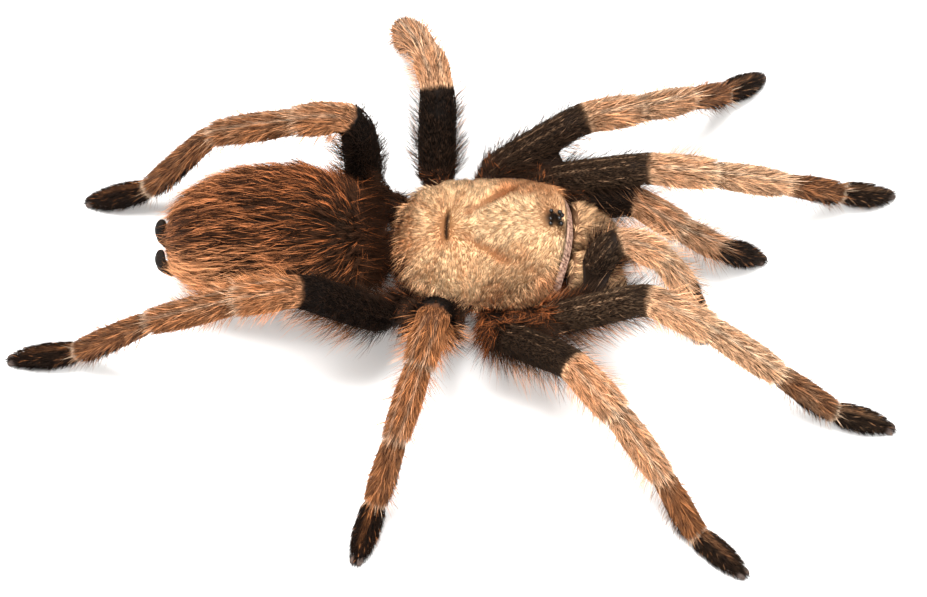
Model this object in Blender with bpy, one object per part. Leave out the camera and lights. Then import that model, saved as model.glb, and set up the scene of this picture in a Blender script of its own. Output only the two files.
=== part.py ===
"""A blond tarantula of the genus Aphonopelma, life size, standing still with its eight feet on the floor.

Metres, +Z up. The head points along +X and the animal's left side is +Y. The body is built round its
own centre, and the last step moves all of it so that the origin is the centre of its footprint.
"""

import math

import bmesh
import bpy
from mathutils import Matrix, Vector
from mathutils.bvhtree import BVHTree

MM = 0.001
GAP = 0.15 * MM  # the thin cut between two neighbouring pieces
HIP_GAP = 0.22 * MM  # the same round the hips

# Head and thorax
HEAD_TURN = math.radians(-6.2)  # the shield, the eyes and the jaws are turned a little to the right
HEAD_SHIFT = Vector((-0.25, 0.2, 0)) * MM
CARAPACE_LENGTH = 20.0 * MM
CARAPACE_HALF_WIDTH = 8.0 * MM
CARAPACE_WIDEST = 0.51  # share of the length, from the rear
CARAPACE_REAR_CURVE = 2.9  # how square the outline is behind its widest place
CARAPACE_FRONT_CURVE = 2.0
CARAPACE_FRONT_TAPER = 0.255  # share of the half width that is lost at the front edge
CARAPACE_BOW = 1.1 * MM  # how far the front edge curves back at its corners
CARAPACE_STATIONS = (0.012, 0.06, 0.14, 0.28, 0.42, 0.56, 0.7, 0.82, 0.9, 0.96, 1.0)
CARAPACE_STEPS = 14  # sides of the dome's cross-section
CARAPACE_FLOOR = 8.8 * MM  # flat underside of the back shield
RIM_HEIGHT = 9.5 * MM
CREST_RISE = 4.1 * MM  # the crown over the rim at the middle groove
HEAD_RISE = 6.3 * MM  # the crown over the rim behind the eyes
CLYPEUS_HEIGHT = 12.0 * MM  # the front lip over the jaws
GROOVE_PLACE = 0.28  # share of the length where the middle groove lies
HEAD_PLACE = 0.83  # share of the length where the head is highest
BROW_PLACE = 0.86  # share of the length where the crown starts to fall towards the jaws

# Legs, in the order coxa, femur, patella, tibia, metatarsus, tarsus
STERNUM_HEIGHT = 6.4 * MM
FOOT_PRESS = 0.2 * MM  # how deep each foot's round underside is pressed flat against the floor
SIDES = 10  # sides of a leg's cross-section
LEG_LENGTHS = {
    1: (13.5, 7.6, 10.0, 8.3, 6.6),
    2: (12.4, 7.2, 8.6, 8.0, 6.5),
    3: (11.2, 6.3, 8.4, 9.2, 6.7),
    4: (13.5, 7.1, 10.8, 12.8, 7.6),
}
PALP_LENGTHS = (9.0, 6.1, 6.3, 6.8)
# For each limb: the (x, y) of its coxa's inner end and the (x, y, z) of its hip, in mm, on the left side
HIPS = {
    1: ((2.6, 3.0), (6.2, 9.0, 8.3)),
    2: ((0.6, 3.2), (0.8, 10.4, 8.3)),
    3: ((-2.0, 3.2), (-5.0, 10.0, 8.3)),
    4: ((-4.0, 2.6), (-11.4, 7.9, 8.3)),
    "palp": ((4.8, 2.6), (8.4, 6.6, 6.8)),
}
# The limbs that are held otherwise: a palp raised across the jaw, and two legs that reach further back
OWN_HIPS = {
    ("right", "palp"): ((4.8, 2.6), (9.6, 6.6, 7.8)),
    ("left", 4): ((-4.0, 2.6), (-12.8, 8.8, 8.0)),
    ("right", 3): ((-2.0, 3.2), (-6.1, 9.9, 8.2)),
}
# The stance: each limb's headings in degrees, counted from straight ahead towards its own side,
# and each segment's rise over the horizon, from the femur to the foot
STANCE = {
    ("left", 1): ((-14, 1, 13, 15, 8), (29, -13, -31, -33, -21)),
    ("left", 2): ((14, 23, 33, 44, 36), (32, -19, -28, -39, -20)),
    ("left", 3): ((85, 98, 107, 88, 96), (68, -16, -29, -61, -34)),
    ("left", 4): ((132, 170, 167, 182, 172), (87, -20, -26, -52, -24)),
    ("right", 1): ((15, 18, 16, 18, 9), (39, -22, -37, -37, -15)),
    ("right", 2): ((47, 48, 45, 48, 43), (31, -16, -38, -47, -4)),
    ("right", 3): ((86, 111, 113, 131, 111), (73, -26, -30, -67, -22)),
    ("right", 4): ((163, 179, 185, 196, 183), (49, -12, -27, -47, -13)),
    ("left", "palp"): ((-13, -31, 1, 18), (26, -11, -43, -40)),
    ("right", "palp"): ((-46, 8, 25, 60), (52, -30, -52, -64)),
}
KNEE_ARC = 2.4 * MM  # radius of the centre line's bend at each joint
TIP_ROUND = 0.95  # length of a limb's rounded end, as a share of its half width there
# Rings of the rounded end: (how much of it is left to the tip, share of the half width)
TIP_RINGS = ((1.0, 1.0), (0.4, 0.82), (0.0, 0.45))
# Half widths of the segments at their near end, middle and far end
FEMUR_GIRTH = (1.95, 2.2, 2.0)
FEMUR_SHARES = {1: 1.0, 2: 1.0, 3: 1.1, 4: 1.08}  # the hind femora are thicker
PATELLA_GIRTH = (1.9, 2.15, 1.75)
TIBIA_GIRTH = (1.7, 1.9, 1.5)
METATARSUS_GIRTH = (1.45, 1.65, 1.4)
TARSUS_GIRTH = (1.35, 1.62, 1.05)
COXA_GIRTH = (1.7, 2.0, 1.9)
PALP_SHARE = 0.96  # a palp's girth as a share of a leg's
PALP_TARSUS_GIRTH = (1.4, 1.72, 1.15)  # before that share, because a palp ends in a broader club
DEPTH_SHARE = 0.94  # a leg's height as a share of its width

# Sternum: (x, half width) in mm from its rear to the lip between the palps
STERNUM_WIDTHS = ((-8.6, 1.6), (-7.6, 3.0), (-4.5, 4.6), (0.0, 5.2), (4.5, 4.8), (7.8, 3.8), (9.3, 2.6))
STERNUM_TOP = 8.5
STERNUM_BOTTOM = 4.9
STERNUM_RISE = 0.027  # how its ends curve up, per mm squared

# Abdomen, which swings a little to the left of the body's line
PEDICEL_HEIGHT = 8.6 * MM
PEDICEL_RADIUS = 1.3 * MM
ABDOMEN_FRONT = Vector((-10.6, 0.5)) * MM
ABDOMEN_LENGTH = 24.7 * MM
ABDOMEN_HALF_WIDTH = 8.0 * MM
ABDOMEN_HALF_HEIGHT = 7.2 * MM
ABDOMEN_HEIGHT = 12.3 * MM  # of its axis where it is highest
ABDOMEN_SAG = 2.3 * MM  # how far the axis sinks from there to the rear
ABDOMEN_SWING = math.radians(1.9)
ABDOMEN_CROWN = 0.36  # share of the length where the axis is highest
ABDOMEN_WIDEST = 0.46  # share of the length
ABDOMEN_FRONT_CURVE = 2.8  # how square the outline is before its widest place
ABDOMEN_REAR_CURVE = 2.6
ABDOMEN_STATIONS = (0.012, 0.05, 0.11, 0.2, 0.33, 0.46, 0.6, 0.73, 0.84, 0.93, 0.985)
ABDOMEN_SIDES = 18

# Spinnerets, which curl up on a quarter of an ellipse
SPINNERET_ROOT = (2.2, 1.3, -2.6)  # in mm from the abdomen's rear end, on the left side
SPINNERET_REACH = 1.75
SPINNERET_RISE = 3.0
SPINNERET_SPREAD = 0.6
SPINNERET_SECTIONS = ((0, 0.75), (30, 0.85), (58, 0.9), (80, 0.8), (96, 0.55))  # (degrees, radius in mm)

# Jaws
JAW_BASE = 9.07 * MM  # how far ahead of the centre the jaws start, under the lip
JAW_PIVOT_HEIGHT = 4.3 * MM
JAW_INNER = 0.15 * MM  # from the midline to the jaw's inner side
JAW_HALF_WIDTH = 2.65 * MM
# The jaw's sections: (degrees of the fan, inner and outer reach from the pivot in mm, share of the width)
JAW_SECTIONS = (
    (0, 1.0, 7.4, 1.18),
    (16, 1.0, 7.7, 1.12),
    (34, 1.0, 7.8, 0.97),
    (52, 1.0, 7.6, 0.82),
    (70, 1.0, 7.0, 0.69),
    (84, 1.2, 6.3, 0.54),
)

# Fangs, which fold back on a quarter of an ellipse and a little more
FANG_FORWARD = 3.9 * MM  # from the jaw's base to the fang's root
FANG_OFFSET = 2.2 * MM
FANG_REACH = 3.6 * MM
FANG_DROP = 2.2 * MM
FANG_LEAN = 0.6 * MM  # how far the tip leans towards the midline
FANG_RADIUS = 0.85 * MM
FANG_TIP_RADIUS = 0.27 * MM
FANG_TURNS = (0, 18, 38, 60, 82, 104)

# Eye mound
MOUND_FORWARD = 7.6 * MM
MOUND_TOP = 16.65 * MM
MOUND_FOOT = 13.8 * MM  # inside the shield
MOUND_HALF_LENGTH = 0.9 * MM
MOUND_HALF_WIDTH = 1.05 * MM
MOUND_PROFILE = ((0.0, 1.0), (0.45, 0.93), (0.75, 0.73), (0.93, 0.41), (1.0, 0.3))  # (rise, width) shares
MOUND_SIDES = 14
EYE_SEAT = 0.03 * MM  # the gap under each eye
EYE_SINK = 0.25  # how far an eye's middle stands off the shield, as a share of its radius
# Eyes on the left half: name, heading and rise in degrees seen from the mound's middle, radius in mm
EYES = (
    ("front_middle", 40, 62, 0.25),
    ("front_side", 38, 22, 0.27),
    ("rear_side", 115, 35, 0.25),
    ("rear_middle", 128, 62, 0.22),
)

COLOURS = {
    "shield": (0.62, 0.42, 0.22),
    "pale_leg": (0.55, 0.33, 0.18),
    "dark_leg": (0.045, 0.03, 0.022),
    "foot": (0.1, 0.06, 0.04),
    "abdomen": (0.13, 0.045, 0.02),
    "underside": (0.16, 0.08, 0.045),
    "jaw": (0.4, 0.27, 0.15),
    "horn": (0.012, 0.009, 0.008),
    "eye": (0.02, 0.016, 0.014),
}


def clear_scene():
    for found in list(bpy.data.objects):
        bpy.data.objects.remove(found)


def material(name):
    made = bpy.data.materials.get(name)
    if made is None:
        made = bpy.data.materials.new(name)
        made.use_nodes = True
        shader = made.node_tree.nodes["Principled BSDF"]
        shader.inputs["Base Color"].default_value = (*COLOURS[name], 1.0)
        shader.inputs["Roughness"].default_value = 0.25 if name in ("horn", "eye") else 0.75
        shader.inputs["Metallic"].default_value = 0.0
    return made


def add_mesh(name, mesh_tool, finish):
    """An object made from a bmesh, with its faces pointing out."""
    bmesh.ops.recalc_face_normals(mesh_tool, faces=mesh_tool.faces)
    mesh = bpy.data.meshes.new(name)
    mesh_tool.to_mesh(mesh)
    mesh_tool.free()
    mesh.materials.append(material(finish))
    mesh.shade_smooth()
    mesh.set_sharp_from_angle(angle=math.radians(40))
    made = bpy.data.objects.new(name, mesh)
    bpy.context.scene.collection.objects.link(made)
    return made


def loft(rings):
    """A closed bmesh through rings of points, with a flat face over each end."""
    made = bmesh.new()
    loops = [[made.verts.new(point) for point in ring] for ring in rings]
    for near, far in zip(loops, loops[1:]):
        for i in range(len(near)):
            j = (i + 1) % len(near)
            made.faces.new((near[i], near[j], far[j], far[i]))
    made.faces.new(loops[0])
    made.faces.new(loops[-1])
    return made


def ellipse(centre, across, along, sides=SIDES, power=2.0):
    """Points on a (super)ellipse with half axes across and along, given as vectors."""
    points = []
    for i in range(sides):
        turn = 2 * math.pi * (i + 0.5) / sides
        c, s = math.cos(turn), math.sin(turn)
        share = 2.0 / power
        points.append(
            centre
            + across * math.copysign(abs(c) ** share, c)
            + along * math.copysign(abs(s) ** share, s)
        )
    return points


def helper(made):
    """Keeps an object out of the model: it only cuts or joins another."""
    made.hide_render = True
    made.display_type = "WIRE"
    return made


def boolean(target, other, operation):
    cut = target.modifiers.new(operation.lower(), "BOOLEAN")
    cut.operation = operation
    cut.solver = "EXACT"
    cut.object = other


def grown(source, by, name):
    """A copy of a finished object whose surface lies further out, for cutting its neighbours."""
    made = bmesh.new()
    made.from_object(source, bpy.context.evaluated_depsgraph_get())
    made.normal_update()
    moves = [(v, v.normal * by) for v in made.verts]
    for v, move in moves:
        v.co += move
    return helper(add_mesh(name, made, "shield"))


# --- the back shield -------------------------------------------------------------------------


def shield_half_width(t):
    """Half width of the shield at t, from 0 at the rear to 1 at the front."""
    if t < CARAPACE_WIDEST:
        rear = (CARAPACE_WIDEST - t) / CARAPACE_WIDEST
        return CARAPACE_HALF_WIDTH * (1 - rear**CARAPACE_REAR_CURVE) ** 0.5
    front = (t - CARAPACE_WIDEST) / (1 - CARAPACE_WIDEST)
    return CARAPACE_HALF_WIDTH * (1 - CARAPACE_FRONT_TAPER * front**CARAPACE_FRONT_CURVE)


def shield_crest(t):
    """Height of the shield's crown at t."""
    if t < GROOVE_PLACE:
        return RIM_HEIGHT + CREST_RISE * (1 - (1 - t / GROOVE_PLACE) ** 2.0) ** 0.6
    head = min(1.0, (t - GROOVE_PLACE) / (HEAD_PLACE - GROOVE_PLACE))
    level = RIM_HEIGHT + CREST_RISE + (HEAD_RISE - CREST_RISE) * head * head * (3 - 2 * head)
    fall = max(0.0, (t - BROW_PLACE) / (1 - BROW_PLACE))
    return level - (RIM_HEIGHT + HEAD_RISE - CLYPEUS_HEIGHT) * fall**2


def turn_head(tool):
    """Moves a bmesh from straight along the body's line to where the head points."""
    placed = Matrix.Translation(HEAD_SHIFT) @ Matrix.Rotation(HEAD_TURN, 4, "Z")
    bmesh.ops.transform(tool, matrix=placed, verts=tool.verts)
    return tool


def carapace():
    rings = []
    for t in CARAPACE_STATIONS:
        x = (t - 0.5) * CARAPACE_LENGTH
        half, crest = shield_half_width(t), shield_crest(t)
        bow = CARAPACE_BOW * t**4
        ring = []
        for i in range(CARAPACE_STEPS + 1):
            turn = math.pi * i / CARAPACE_STEPS
            side = math.cos(turn)
            rise = math.sin(turn)
            y = half * math.copysign(abs(side) ** 0.8, side)
            z = RIM_HEIGHT + (crest - RIM_HEIGHT) * rise**0.9
            ring.append(Vector((x - bow * (y / half) ** 2, y, z)))
        ring.append(Vector((x - bow, -half * 0.97, CARAPACE_FLOOR)))
        ring.append(Vector((x - bow, half * 0.97, CARAPACE_FLOOR)))
        rings.append(ring)
    shell = loft(rings)
    shell.faces.ensure_lookup_table()
    front = shell.faces[-1]
    bmesh.ops.poke(shell, faces=[front])
    shield = add_mesh("carapace", turn_head(shell), "shield")
    boolean(shield, helper(eye_mound()), "UNION")


def eye_mound():
    """The low dome that carries the eyes."""
    rings = []
    for lift, share in MOUND_PROFILE:
        centre = Vector((MOUND_FORWARD, 0, MOUND_FOOT + (MOUND_TOP - MOUND_FOOT) * lift))
        along, across = Vector((MOUND_HALF_LENGTH * share, 0, 0)), Vector((0, MOUND_HALF_WIDTH * share, 0))
        rings.append(ellipse(centre, along, across, MOUND_SIDES))
    return add_mesh("eye_mound", turn_head(loft(rings)), "shield")


def eyes():
    """Eight beads set round the mound, each cut where it would enter the shield."""
    bpy.context.view_layer.update()
    surface = BVHTree.FromObject(bpy.data.objects["carapace"], bpy.context.evaluated_depsgraph_get())
    seat = grown(bpy.data.objects["carapace"], EYE_SEAT, "eye_seat")
    heading = Matrix.Rotation(HEAD_TURN, 3, "Z")
    middle = heading @ Vector((MOUND_FORWARD, 0, MOUND_TOP - 1.6 * MM)) + HEAD_SHIFT
    for side in ("left", "right"):
        for name, turn, rise, radius in EYES:
            outwards = heading @ direction(side, turn, rise)
            spot, normal, _, _ = surface.ray_cast(middle + outwards * 5 * MM, -outwards)
            bead = bmesh.new()
            bmesh.ops.create_uvsphere(bead, u_segments=7, v_segments=4, radius=radius * MM)
            bmesh.ops.translate(bead, verts=bead.verts, vec=spot + normal * radius * MM * EYE_SINK)
            boolean(add_mesh(f"eye_{side}_{name}", bead, "eye"), seat, "DIFFERENCE")


# --- limbs -----------------------------------------------------------------------------------


def direction(side, heading, rise):
    """A unit vector from a heading towards the limb's own side and a rise, in degrees."""
    sign = 1 if side == "left" else -1
    h, r = math.radians(heading), math.radians(rise)
    return Vector((math.cos(h) * math.cos(r), sign * math.sin(h) * math.cos(r), math.sin(r)))


def lowest_of_tip(tip, way, end):
    """Height of the lowest point of a limb's rounded end."""
    level = math.hypot(way.x, way.y)
    return min(
        tip.z - way.z * end * TIP_ROUND * left - end * share * DEPTH_SHARE * level
        for left, share in TIP_RINGS
    )


def settled(side, pair, lengths):
    """The limb's joints, with all its segments tipped by one small angle that sets its foot on the floor."""
    headings, rises = STANCE[side, pair]
    (inner_x, inner_y), (hip_x, hip_y, hip_z) = OWN_HIPS.get((side, pair), HIPS[pair])
    sign = 1 if side == "left" else -1
    inner = Vector((inner_x * MM, sign * inner_y * MM, STERNUM_HEIGHT))
    hip = Vector((hip_x, sign * hip_y, hip_z)) * MM
    end = PALP_TARSUS_GIRTH[2] * PALP_SHARE * MM if pair == "palp" else TARSUS_GIRTH[2] * MM
    low, high = -12.0, 12.0
    for _ in range(40):
        tip = (low + high) / 2
        steps = [
            direction(side, heading, rise + tip) * length * MM
            for heading, rise, length in zip(headings, rises, lengths)
        ]
        if lowest_of_tip(hip + sum(steps, Vector()), steps[-1].normalized(), end) > -FOOT_PRESS:
            high = tip
        else:
            low = tip
    joints = [inner, hip]
    for step in steps:
        joints.append(joints[-1] + step)
    return joints


def bends(joints):
    """At each inner joint: the arc's start, its directions in and out, and its angle."""
    found = []
    for before, at, after in zip(joints, joints[1:], joints[2:]):
        inward, outward = (at - before).normalized(), (after - at).normalized()
        angle = inward.angle(outward)
        reach = KNEE_ARC * math.tan(angle / 2)
        limit = 0.42 * min((at - before).length, (after - at).length)
        found.append((at, inward, outward, angle, min(reach, limit)))
    return found


def on_arc(bend, share):
    """The point and direction at a share of a joint's arc, from 0 where it starts to 1 where it ends."""
    at, inward, outward, angle, reach = bend
    if angle < 1e-4:
        return at + inward * reach * (2 * share - 1), inward
    a, b, c = at - inward * reach, at, at + outward * reach
    spot = a * (1 - share) ** 2 + b * 2 * share * (1 - share) + c * share**2
    along = (b - a) * (1 - share) + (c - b) * share
    return spot, along.normalized()


def segment_stations(joints, index, tip):
    """(point, direction) along one segment, cut short by half the gap at each end, or by the round tip."""
    joint_bends = bends(joints)
    stations = []
    if index > 0:
        for share in (0.5, 1.0):
            stations.append(on_arc(joint_bends[index - 1], share))
    else:
        stations.append((joints[0], (joints[1] - joints[0]).normalized()))
    last = index == len(joints) - 2
    if last:
        way = (joints[-1] - joints[-2]).normalized()
        far = [(joints[-1] - way * tip * TIP_ROUND, way)]
    else:
        far = [on_arc(joint_bends[index], share) for share in (0.0, 0.5)]
    start, stop = stations[-1][0], far[0][0]
    along = (stop - start).normalized()
    for share in (0.33, 0.67):
        stations.append((start.lerp(stop, share), along))
    stations += far
    if index > 0:
        spot, way = stations[0]
        stations[0] = (spot + way * GAP / 2, way)
    if not last:
        spot, way = stations[-1]
        stations[-1] = (spot - way * GAP / 2, way)
    return stations


def segment_rings(joints, index, girth, size=1.0):
    """Rings round one segment. The girth eases from its near end over its middle to its far end."""
    near, middle, far = (g * MM * size for g in girth)
    stations = segment_stations(joints, index, far)
    travelled = [0.0]
    for (a, _), (b, _) in zip(stations, stations[1:]):
        travelled.append(travelled[-1] + (b - a).length)
    rings = []
    for (spot, way), distance in zip(stations, travelled):
        s = distance / travelled[-1]
        end = near if s < 0.5 else far
        radius = end + (middle - end) * (1 - (2 * s - 1) ** 2) ** 0.5 if 0 < s < 1 else end
        across = Vector((0, 0, 1)).cross(way).normalized()
        up = way.cross(across).normalized()
        rings.append(ellipse(spot, across * radius, up * radius * DEPTH_SHARE))
    return rings


def rounded_tip(joints, rings, girth, size=1.0):
    """Closes a limb's last segment with two shrinking rings, the last of them at its tip."""
    way = (joints[-1] - joints[-2]).normalized()
    across = Vector((0, 0, 1)).cross(way).normalized()
    up = way.cross(across).normalized()
    end = girth[2] * MM * size
    for left, share in TIP_RINGS[1:]:
        spot = joints[-1] - way * end * TIP_ROUND * left
        rings.append(ellipse(spot, across * end * share, up * end * share * DEPTH_SHARE))
    return rings


def rest_on_floor(tool):
    """Cuts off what would lie under the floor, leaving a small flat."""
    geometry = list(tool.verts) + list(tool.edges) + list(tool.faces)
    cut = bmesh.ops.bisect_plane(
        tool, geom=geometry, dist=1e-7, plane_co=(0, 0, 0), plane_no=(0, 0, 1), clear_inner=True
    )
    rim = [e for e in cut["geom_cut"] if isinstance(e, bmesh.types.BMEdge)]
    if rim:
        bmesh.ops.contextual_create(tool, geom=rim)


def leg(side, pair):
    joints = settled(side, pair, LEG_LENGTHS[pair])
    name = f"leg_{side}_{pair}"
    hip_solids.append(add_mesh(f"{name}_coxa", loft(segment_rings(joints, 0, COXA_GIRTH)), "underside"))
    thigh = loft(segment_rings(joints, 1, FEMUR_GIRTH, FEMUR_SHARES[pair]))
    femur = add_mesh(f"{name}_femur", thigh, "dark_leg")
    boolean(femur, grown(bpy.data.objects["carapace"], GAP, f"{name}_shield_clearance"), "DIFFERENCE")
    add_mesh(f"{name}_patella", loft(segment_rings(joints, 2, PATELLA_GIRTH)), "pale_leg")
    add_mesh(f"{name}_tibia", loft(segment_rings(joints, 3, TIBIA_GIRTH)), "pale_leg")
    # The foot is the metatarsus and the tarsus, which bend little against each other
    rings = segment_rings(joints, 4, METATARSUS_GIRTH)[:-1]
    rings += rounded_tip(joints, segment_rings(joints, 5, TARSUS_GIRTH)[1:], TARSUS_GIRTH)
    foot = loft(rings)
    rest_on_floor(foot)
    add_mesh(f"{name}_foot", foot, "foot")


def palp(side):
    joints = settled(side, "palp", PALP_LENGTHS)
    name = f"palp_{side}"
    coxa = loft(segment_rings(joints, 0, COXA_GIRTH, PALP_SHARE))
    hip_solids.append(add_mesh(f"{name}_coxa", coxa, "underside"))
    femur = add_mesh(f"{name}_femur", loft(segment_rings(joints, 1, FEMUR_GIRTH, PALP_SHARE)), "dark_leg")
    for neighbour in ("carapace", f"chelicera_{side}", f"leg_{side}_1_femur"):
        cutter = grown(bpy.data.objects[neighbour], GAP, f"{name}_{neighbour}_clearance")
        boolean(femur, cutter, "DIFFERENCE")
    for index, part, girth in ((2, "patella", PATELLA_GIRTH), (3, "tibia", TIBIA_GIRTH)):
        add_mesh(f"{name}_{part}", loft(segment_rings(joints, index, girth, PALP_SHARE)), "pale_leg")
    rings = segment_rings(joints, 4, PALP_TARSUS_GIRTH, PALP_SHARE)
    tarsus = loft(rounded_tip(joints, rings, PALP_TARSUS_GIRTH, PALP_SHARE))
    rest_on_floor(tarsus)
    add_mesh(f"{name}_tarsus", tarsus, "foot")


# --- the underside: sternum with the coxae that grow from it ----------------------------------


def underside():
    rings = []
    for x, half in STERNUM_WIDTHS:
        low = STERNUM_BOTTOM + STERNUM_RISE * x**2
        middle = (low + STERNUM_TOP) / 2
        across, up = Vector((0, half, 0)), Vector((0, 0, STERNUM_TOP - middle))
        rings.append(ellipse(Vector((x, 0, middle)) * MM, across * MM, up * MM, 14, power=2.6))
    body = add_mesh("sternum_with_coxae", loft(rings), "underside")
    for solid in hip_solids:
        helper(solid)
        boolean(body, solid, "UNION")
    neighbours = ["carapace", "leg_left_1_femur", "leg_right_1_femur", "chelicera_left", "chelicera_right"]
    for neighbour in neighbours:
        cutter = grown(bpy.data.objects[neighbour], HIP_GAP, f"hip_{neighbour}_clearance")
        boolean(body, cutter, "DIFFERENCE")


# --- jaws and fangs ---------------------------------------------------------------------------


def jaw(side):
    """A basal jaw segment: sections fanned round a pivot under its base, so it bulges forward and down."""
    sign = 1 if side == "left" else -1
    rings = []
    for degrees, inner, outer, width in JAW_SECTIONS:
        turn = math.radians(degrees)
        way = Vector((math.sin(turn), 0, math.cos(turn)))
        offset = sign * (JAW_INNER + JAW_HALF_WIDTH * width)
        centre = Vector((JAW_BASE, offset, JAW_PIVOT_HEIGHT)) + way * (inner + outer) / 2 * MM
        rings.append(
            ellipse(
                centre,
                Vector((0, JAW_HALF_WIDTH * width, 0)),
                way * (outer - inner) / 2 * MM,
                12,
                power=2.3,
            )
        )
    made = add_mesh(f"chelicera_{side}", turn_head(loft(rings)), "jaw")
    boolean(made, grown(bpy.data.objects["carapace"], GAP, f"jaw_{side}_shield_clearance"), "DIFFERENCE")


def fang(side):
    """A tapering hook that folds back under the jaw."""
    sign = 1 if side == "left" else -1
    root = Vector((JAW_BASE + FANG_FORWARD, sign * FANG_OFFSET, JAW_PIVOT_HEIGHT - GAP))
    rings = []
    for degrees in FANG_TURNS:
        turn = math.radians(degrees)
        share = degrees / FANG_TURNS[-1]
        swing = -FANG_REACH * (1 - math.cos(turn))
        spot = root + Vector((swing, -sign * FANG_LEAN * share, -FANG_DROP * math.sin(turn)))
        way = Vector((-FANG_REACH * math.sin(turn), 0, -FANG_DROP * math.cos(turn))).normalized()
        radius = FANG_RADIUS - (FANG_RADIUS - FANG_TIP_RADIUS) * share
        across = Vector((0, 1, 0))
        rings.append(ellipse(spot, across * radius, way.cross(across) * radius, 8))
    add_mesh(f"fang_{side}", turn_head(loft(rings)), "horn")


# --- abdomen and spinnerets -------------------------------------------------------------------


def abdomen_girth(t):
    """Share of the abdomen's full width at t, from 0 at the front to 1 at the rear."""
    if t < ABDOMEN_WIDEST:
        return (1 - ((ABDOMEN_WIDEST - t) / ABDOMEN_WIDEST) ** ABDOMEN_FRONT_CURVE) ** 0.5
    return (1 - ((t - ABDOMEN_WIDEST) / (1 - ABDOMEN_WIDEST)) ** ABDOMEN_REAR_CURVE) ** 0.5


def abdomen_axis(t):
    """The abdomen's centre line: it swings to the left, rises from the pedicel and sinks to the rear."""
    reach = ABDOMEN_LENGTH * t
    if t < ABDOMEN_CROWN:
        height = ABDOMEN_HEIGHT - (ABDOMEN_HEIGHT - PEDICEL_HEIGHT) * (1 - t / ABDOMEN_CROWN) ** 2
    else:
        height = ABDOMEN_HEIGHT - ABDOMEN_SAG * ((t - ABDOMEN_CROWN) / (1 - ABDOMEN_CROWN)) ** 2
    way = Vector((-math.cos(ABDOMEN_SWING), math.sin(ABDOMEN_SWING)))
    return Vector((*(ABDOMEN_FRONT + way * reach), height))


def abdomen():
    across, up = Vector((0, 1, 0)), Vector((0, 0, 1))
    behind = Vector((-CARAPACE_LENGTH / 2 - GAP, 0, PEDICEL_HEIGHT))
    pedicel = Matrix.Rotation(HEAD_TURN, 3, "Z") @ behind + HEAD_SHIFT
    rings = [ellipse(pedicel, across * PEDICEL_RADIUS, up * PEDICEL_RADIUS, ABDOMEN_SIDES)]
    for t in ABDOMEN_STATIONS:
        half_width = across * ABDOMEN_HALF_WIDTH * abdomen_girth(t)
        half_height = up * ABDOMEN_HALF_HEIGHT * abdomen_girth(t)
        rings.append(ellipse(abdomen_axis(t), half_width, half_height, ABDOMEN_SIDES))
    add_mesh("abdomen", loft(rings), "abdomen")


def spinneret(side):
    """One of the two long rear spinnerets, which curl up close behind the abdomen."""
    sign = 1 if side == "left" else -1
    root_x, root_y, root_z = SPINNERET_ROOT
    root = abdomen_axis(1.0) + Vector((root_x, sign * root_y, root_z)) * MM
    rings = []
    for degrees, radius in SPINNERET_SECTIONS:
        c, s = math.cos(math.radians(degrees)), math.sin(math.radians(degrees))
        reach = Vector((-SPINNERET_REACH * s, sign * SPINNERET_SPREAD * s, SPINNERET_RISE * (1 - c)))
        way = Vector((-SPINNERET_REACH * c, 0, SPINNERET_RISE * s)).normalized()
        across = Vector((0, 1, 0)) * radius * MM
        rings.append(ellipse(root + reach * MM, across, way.cross(across), 8))
    made = add_mesh(f"spinneret_{side}", loft(rings), "horn")
    boolean(made, grown(bpy.data.objects["abdomen"], GAP, f"abdomen_clearance_{side}"), "DIFFERENCE")


# --- the whole animal -------------------------------------------------------------------------


def centre_on_footprint():
    """Moves the whole animal so that the origin is the middle of its footprint, on the floor."""
    bpy.context.view_layer.update()
    graph = bpy.context.evaluated_depsgraph_get()
    low, high = Vector((1, 1, 1)), Vector((-1, -1, -1))
    shown = [o for o in bpy.context.scene.objects if not o.hide_render]
    for found in shown:
        mesh = found.evaluated_get(graph).to_mesh()
        for v in mesh.vertices:
            low = Vector(map(min, low, v.co))
            high = Vector(map(max, high, v.co))
    shift = Vector(((low.x + high.x) / 2, (low.y + high.y) / 2, 0))
    done = set()
    for found in bpy.context.scene.objects:
        if found.data.name not in done:
            done.add(found.data.name)
            for v in found.data.vertices:
                v.co -= shift


clear_scene()
hip_solids = []
carapace()
eyes()
for limb_side in ("left", "right"):
    for limb_pair in LEG_LENGTHS:
        leg(limb_side, limb_pair)
    jaw(limb_side)
    fang(limb_side)
    palp(limb_side)
underside()
abdomen()
for limb_side in ("left", "right"):
    spinneret(limb_side)
centre_on_footprint()
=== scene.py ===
"""The looks of a life-size blond tarantula: skin, shell, eyes and coat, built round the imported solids."""

import math

import bmesh
import bpy
import numpy as np
from mathutils import Matrix, Vector
from mathutils.kdtree import KDTree


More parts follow.
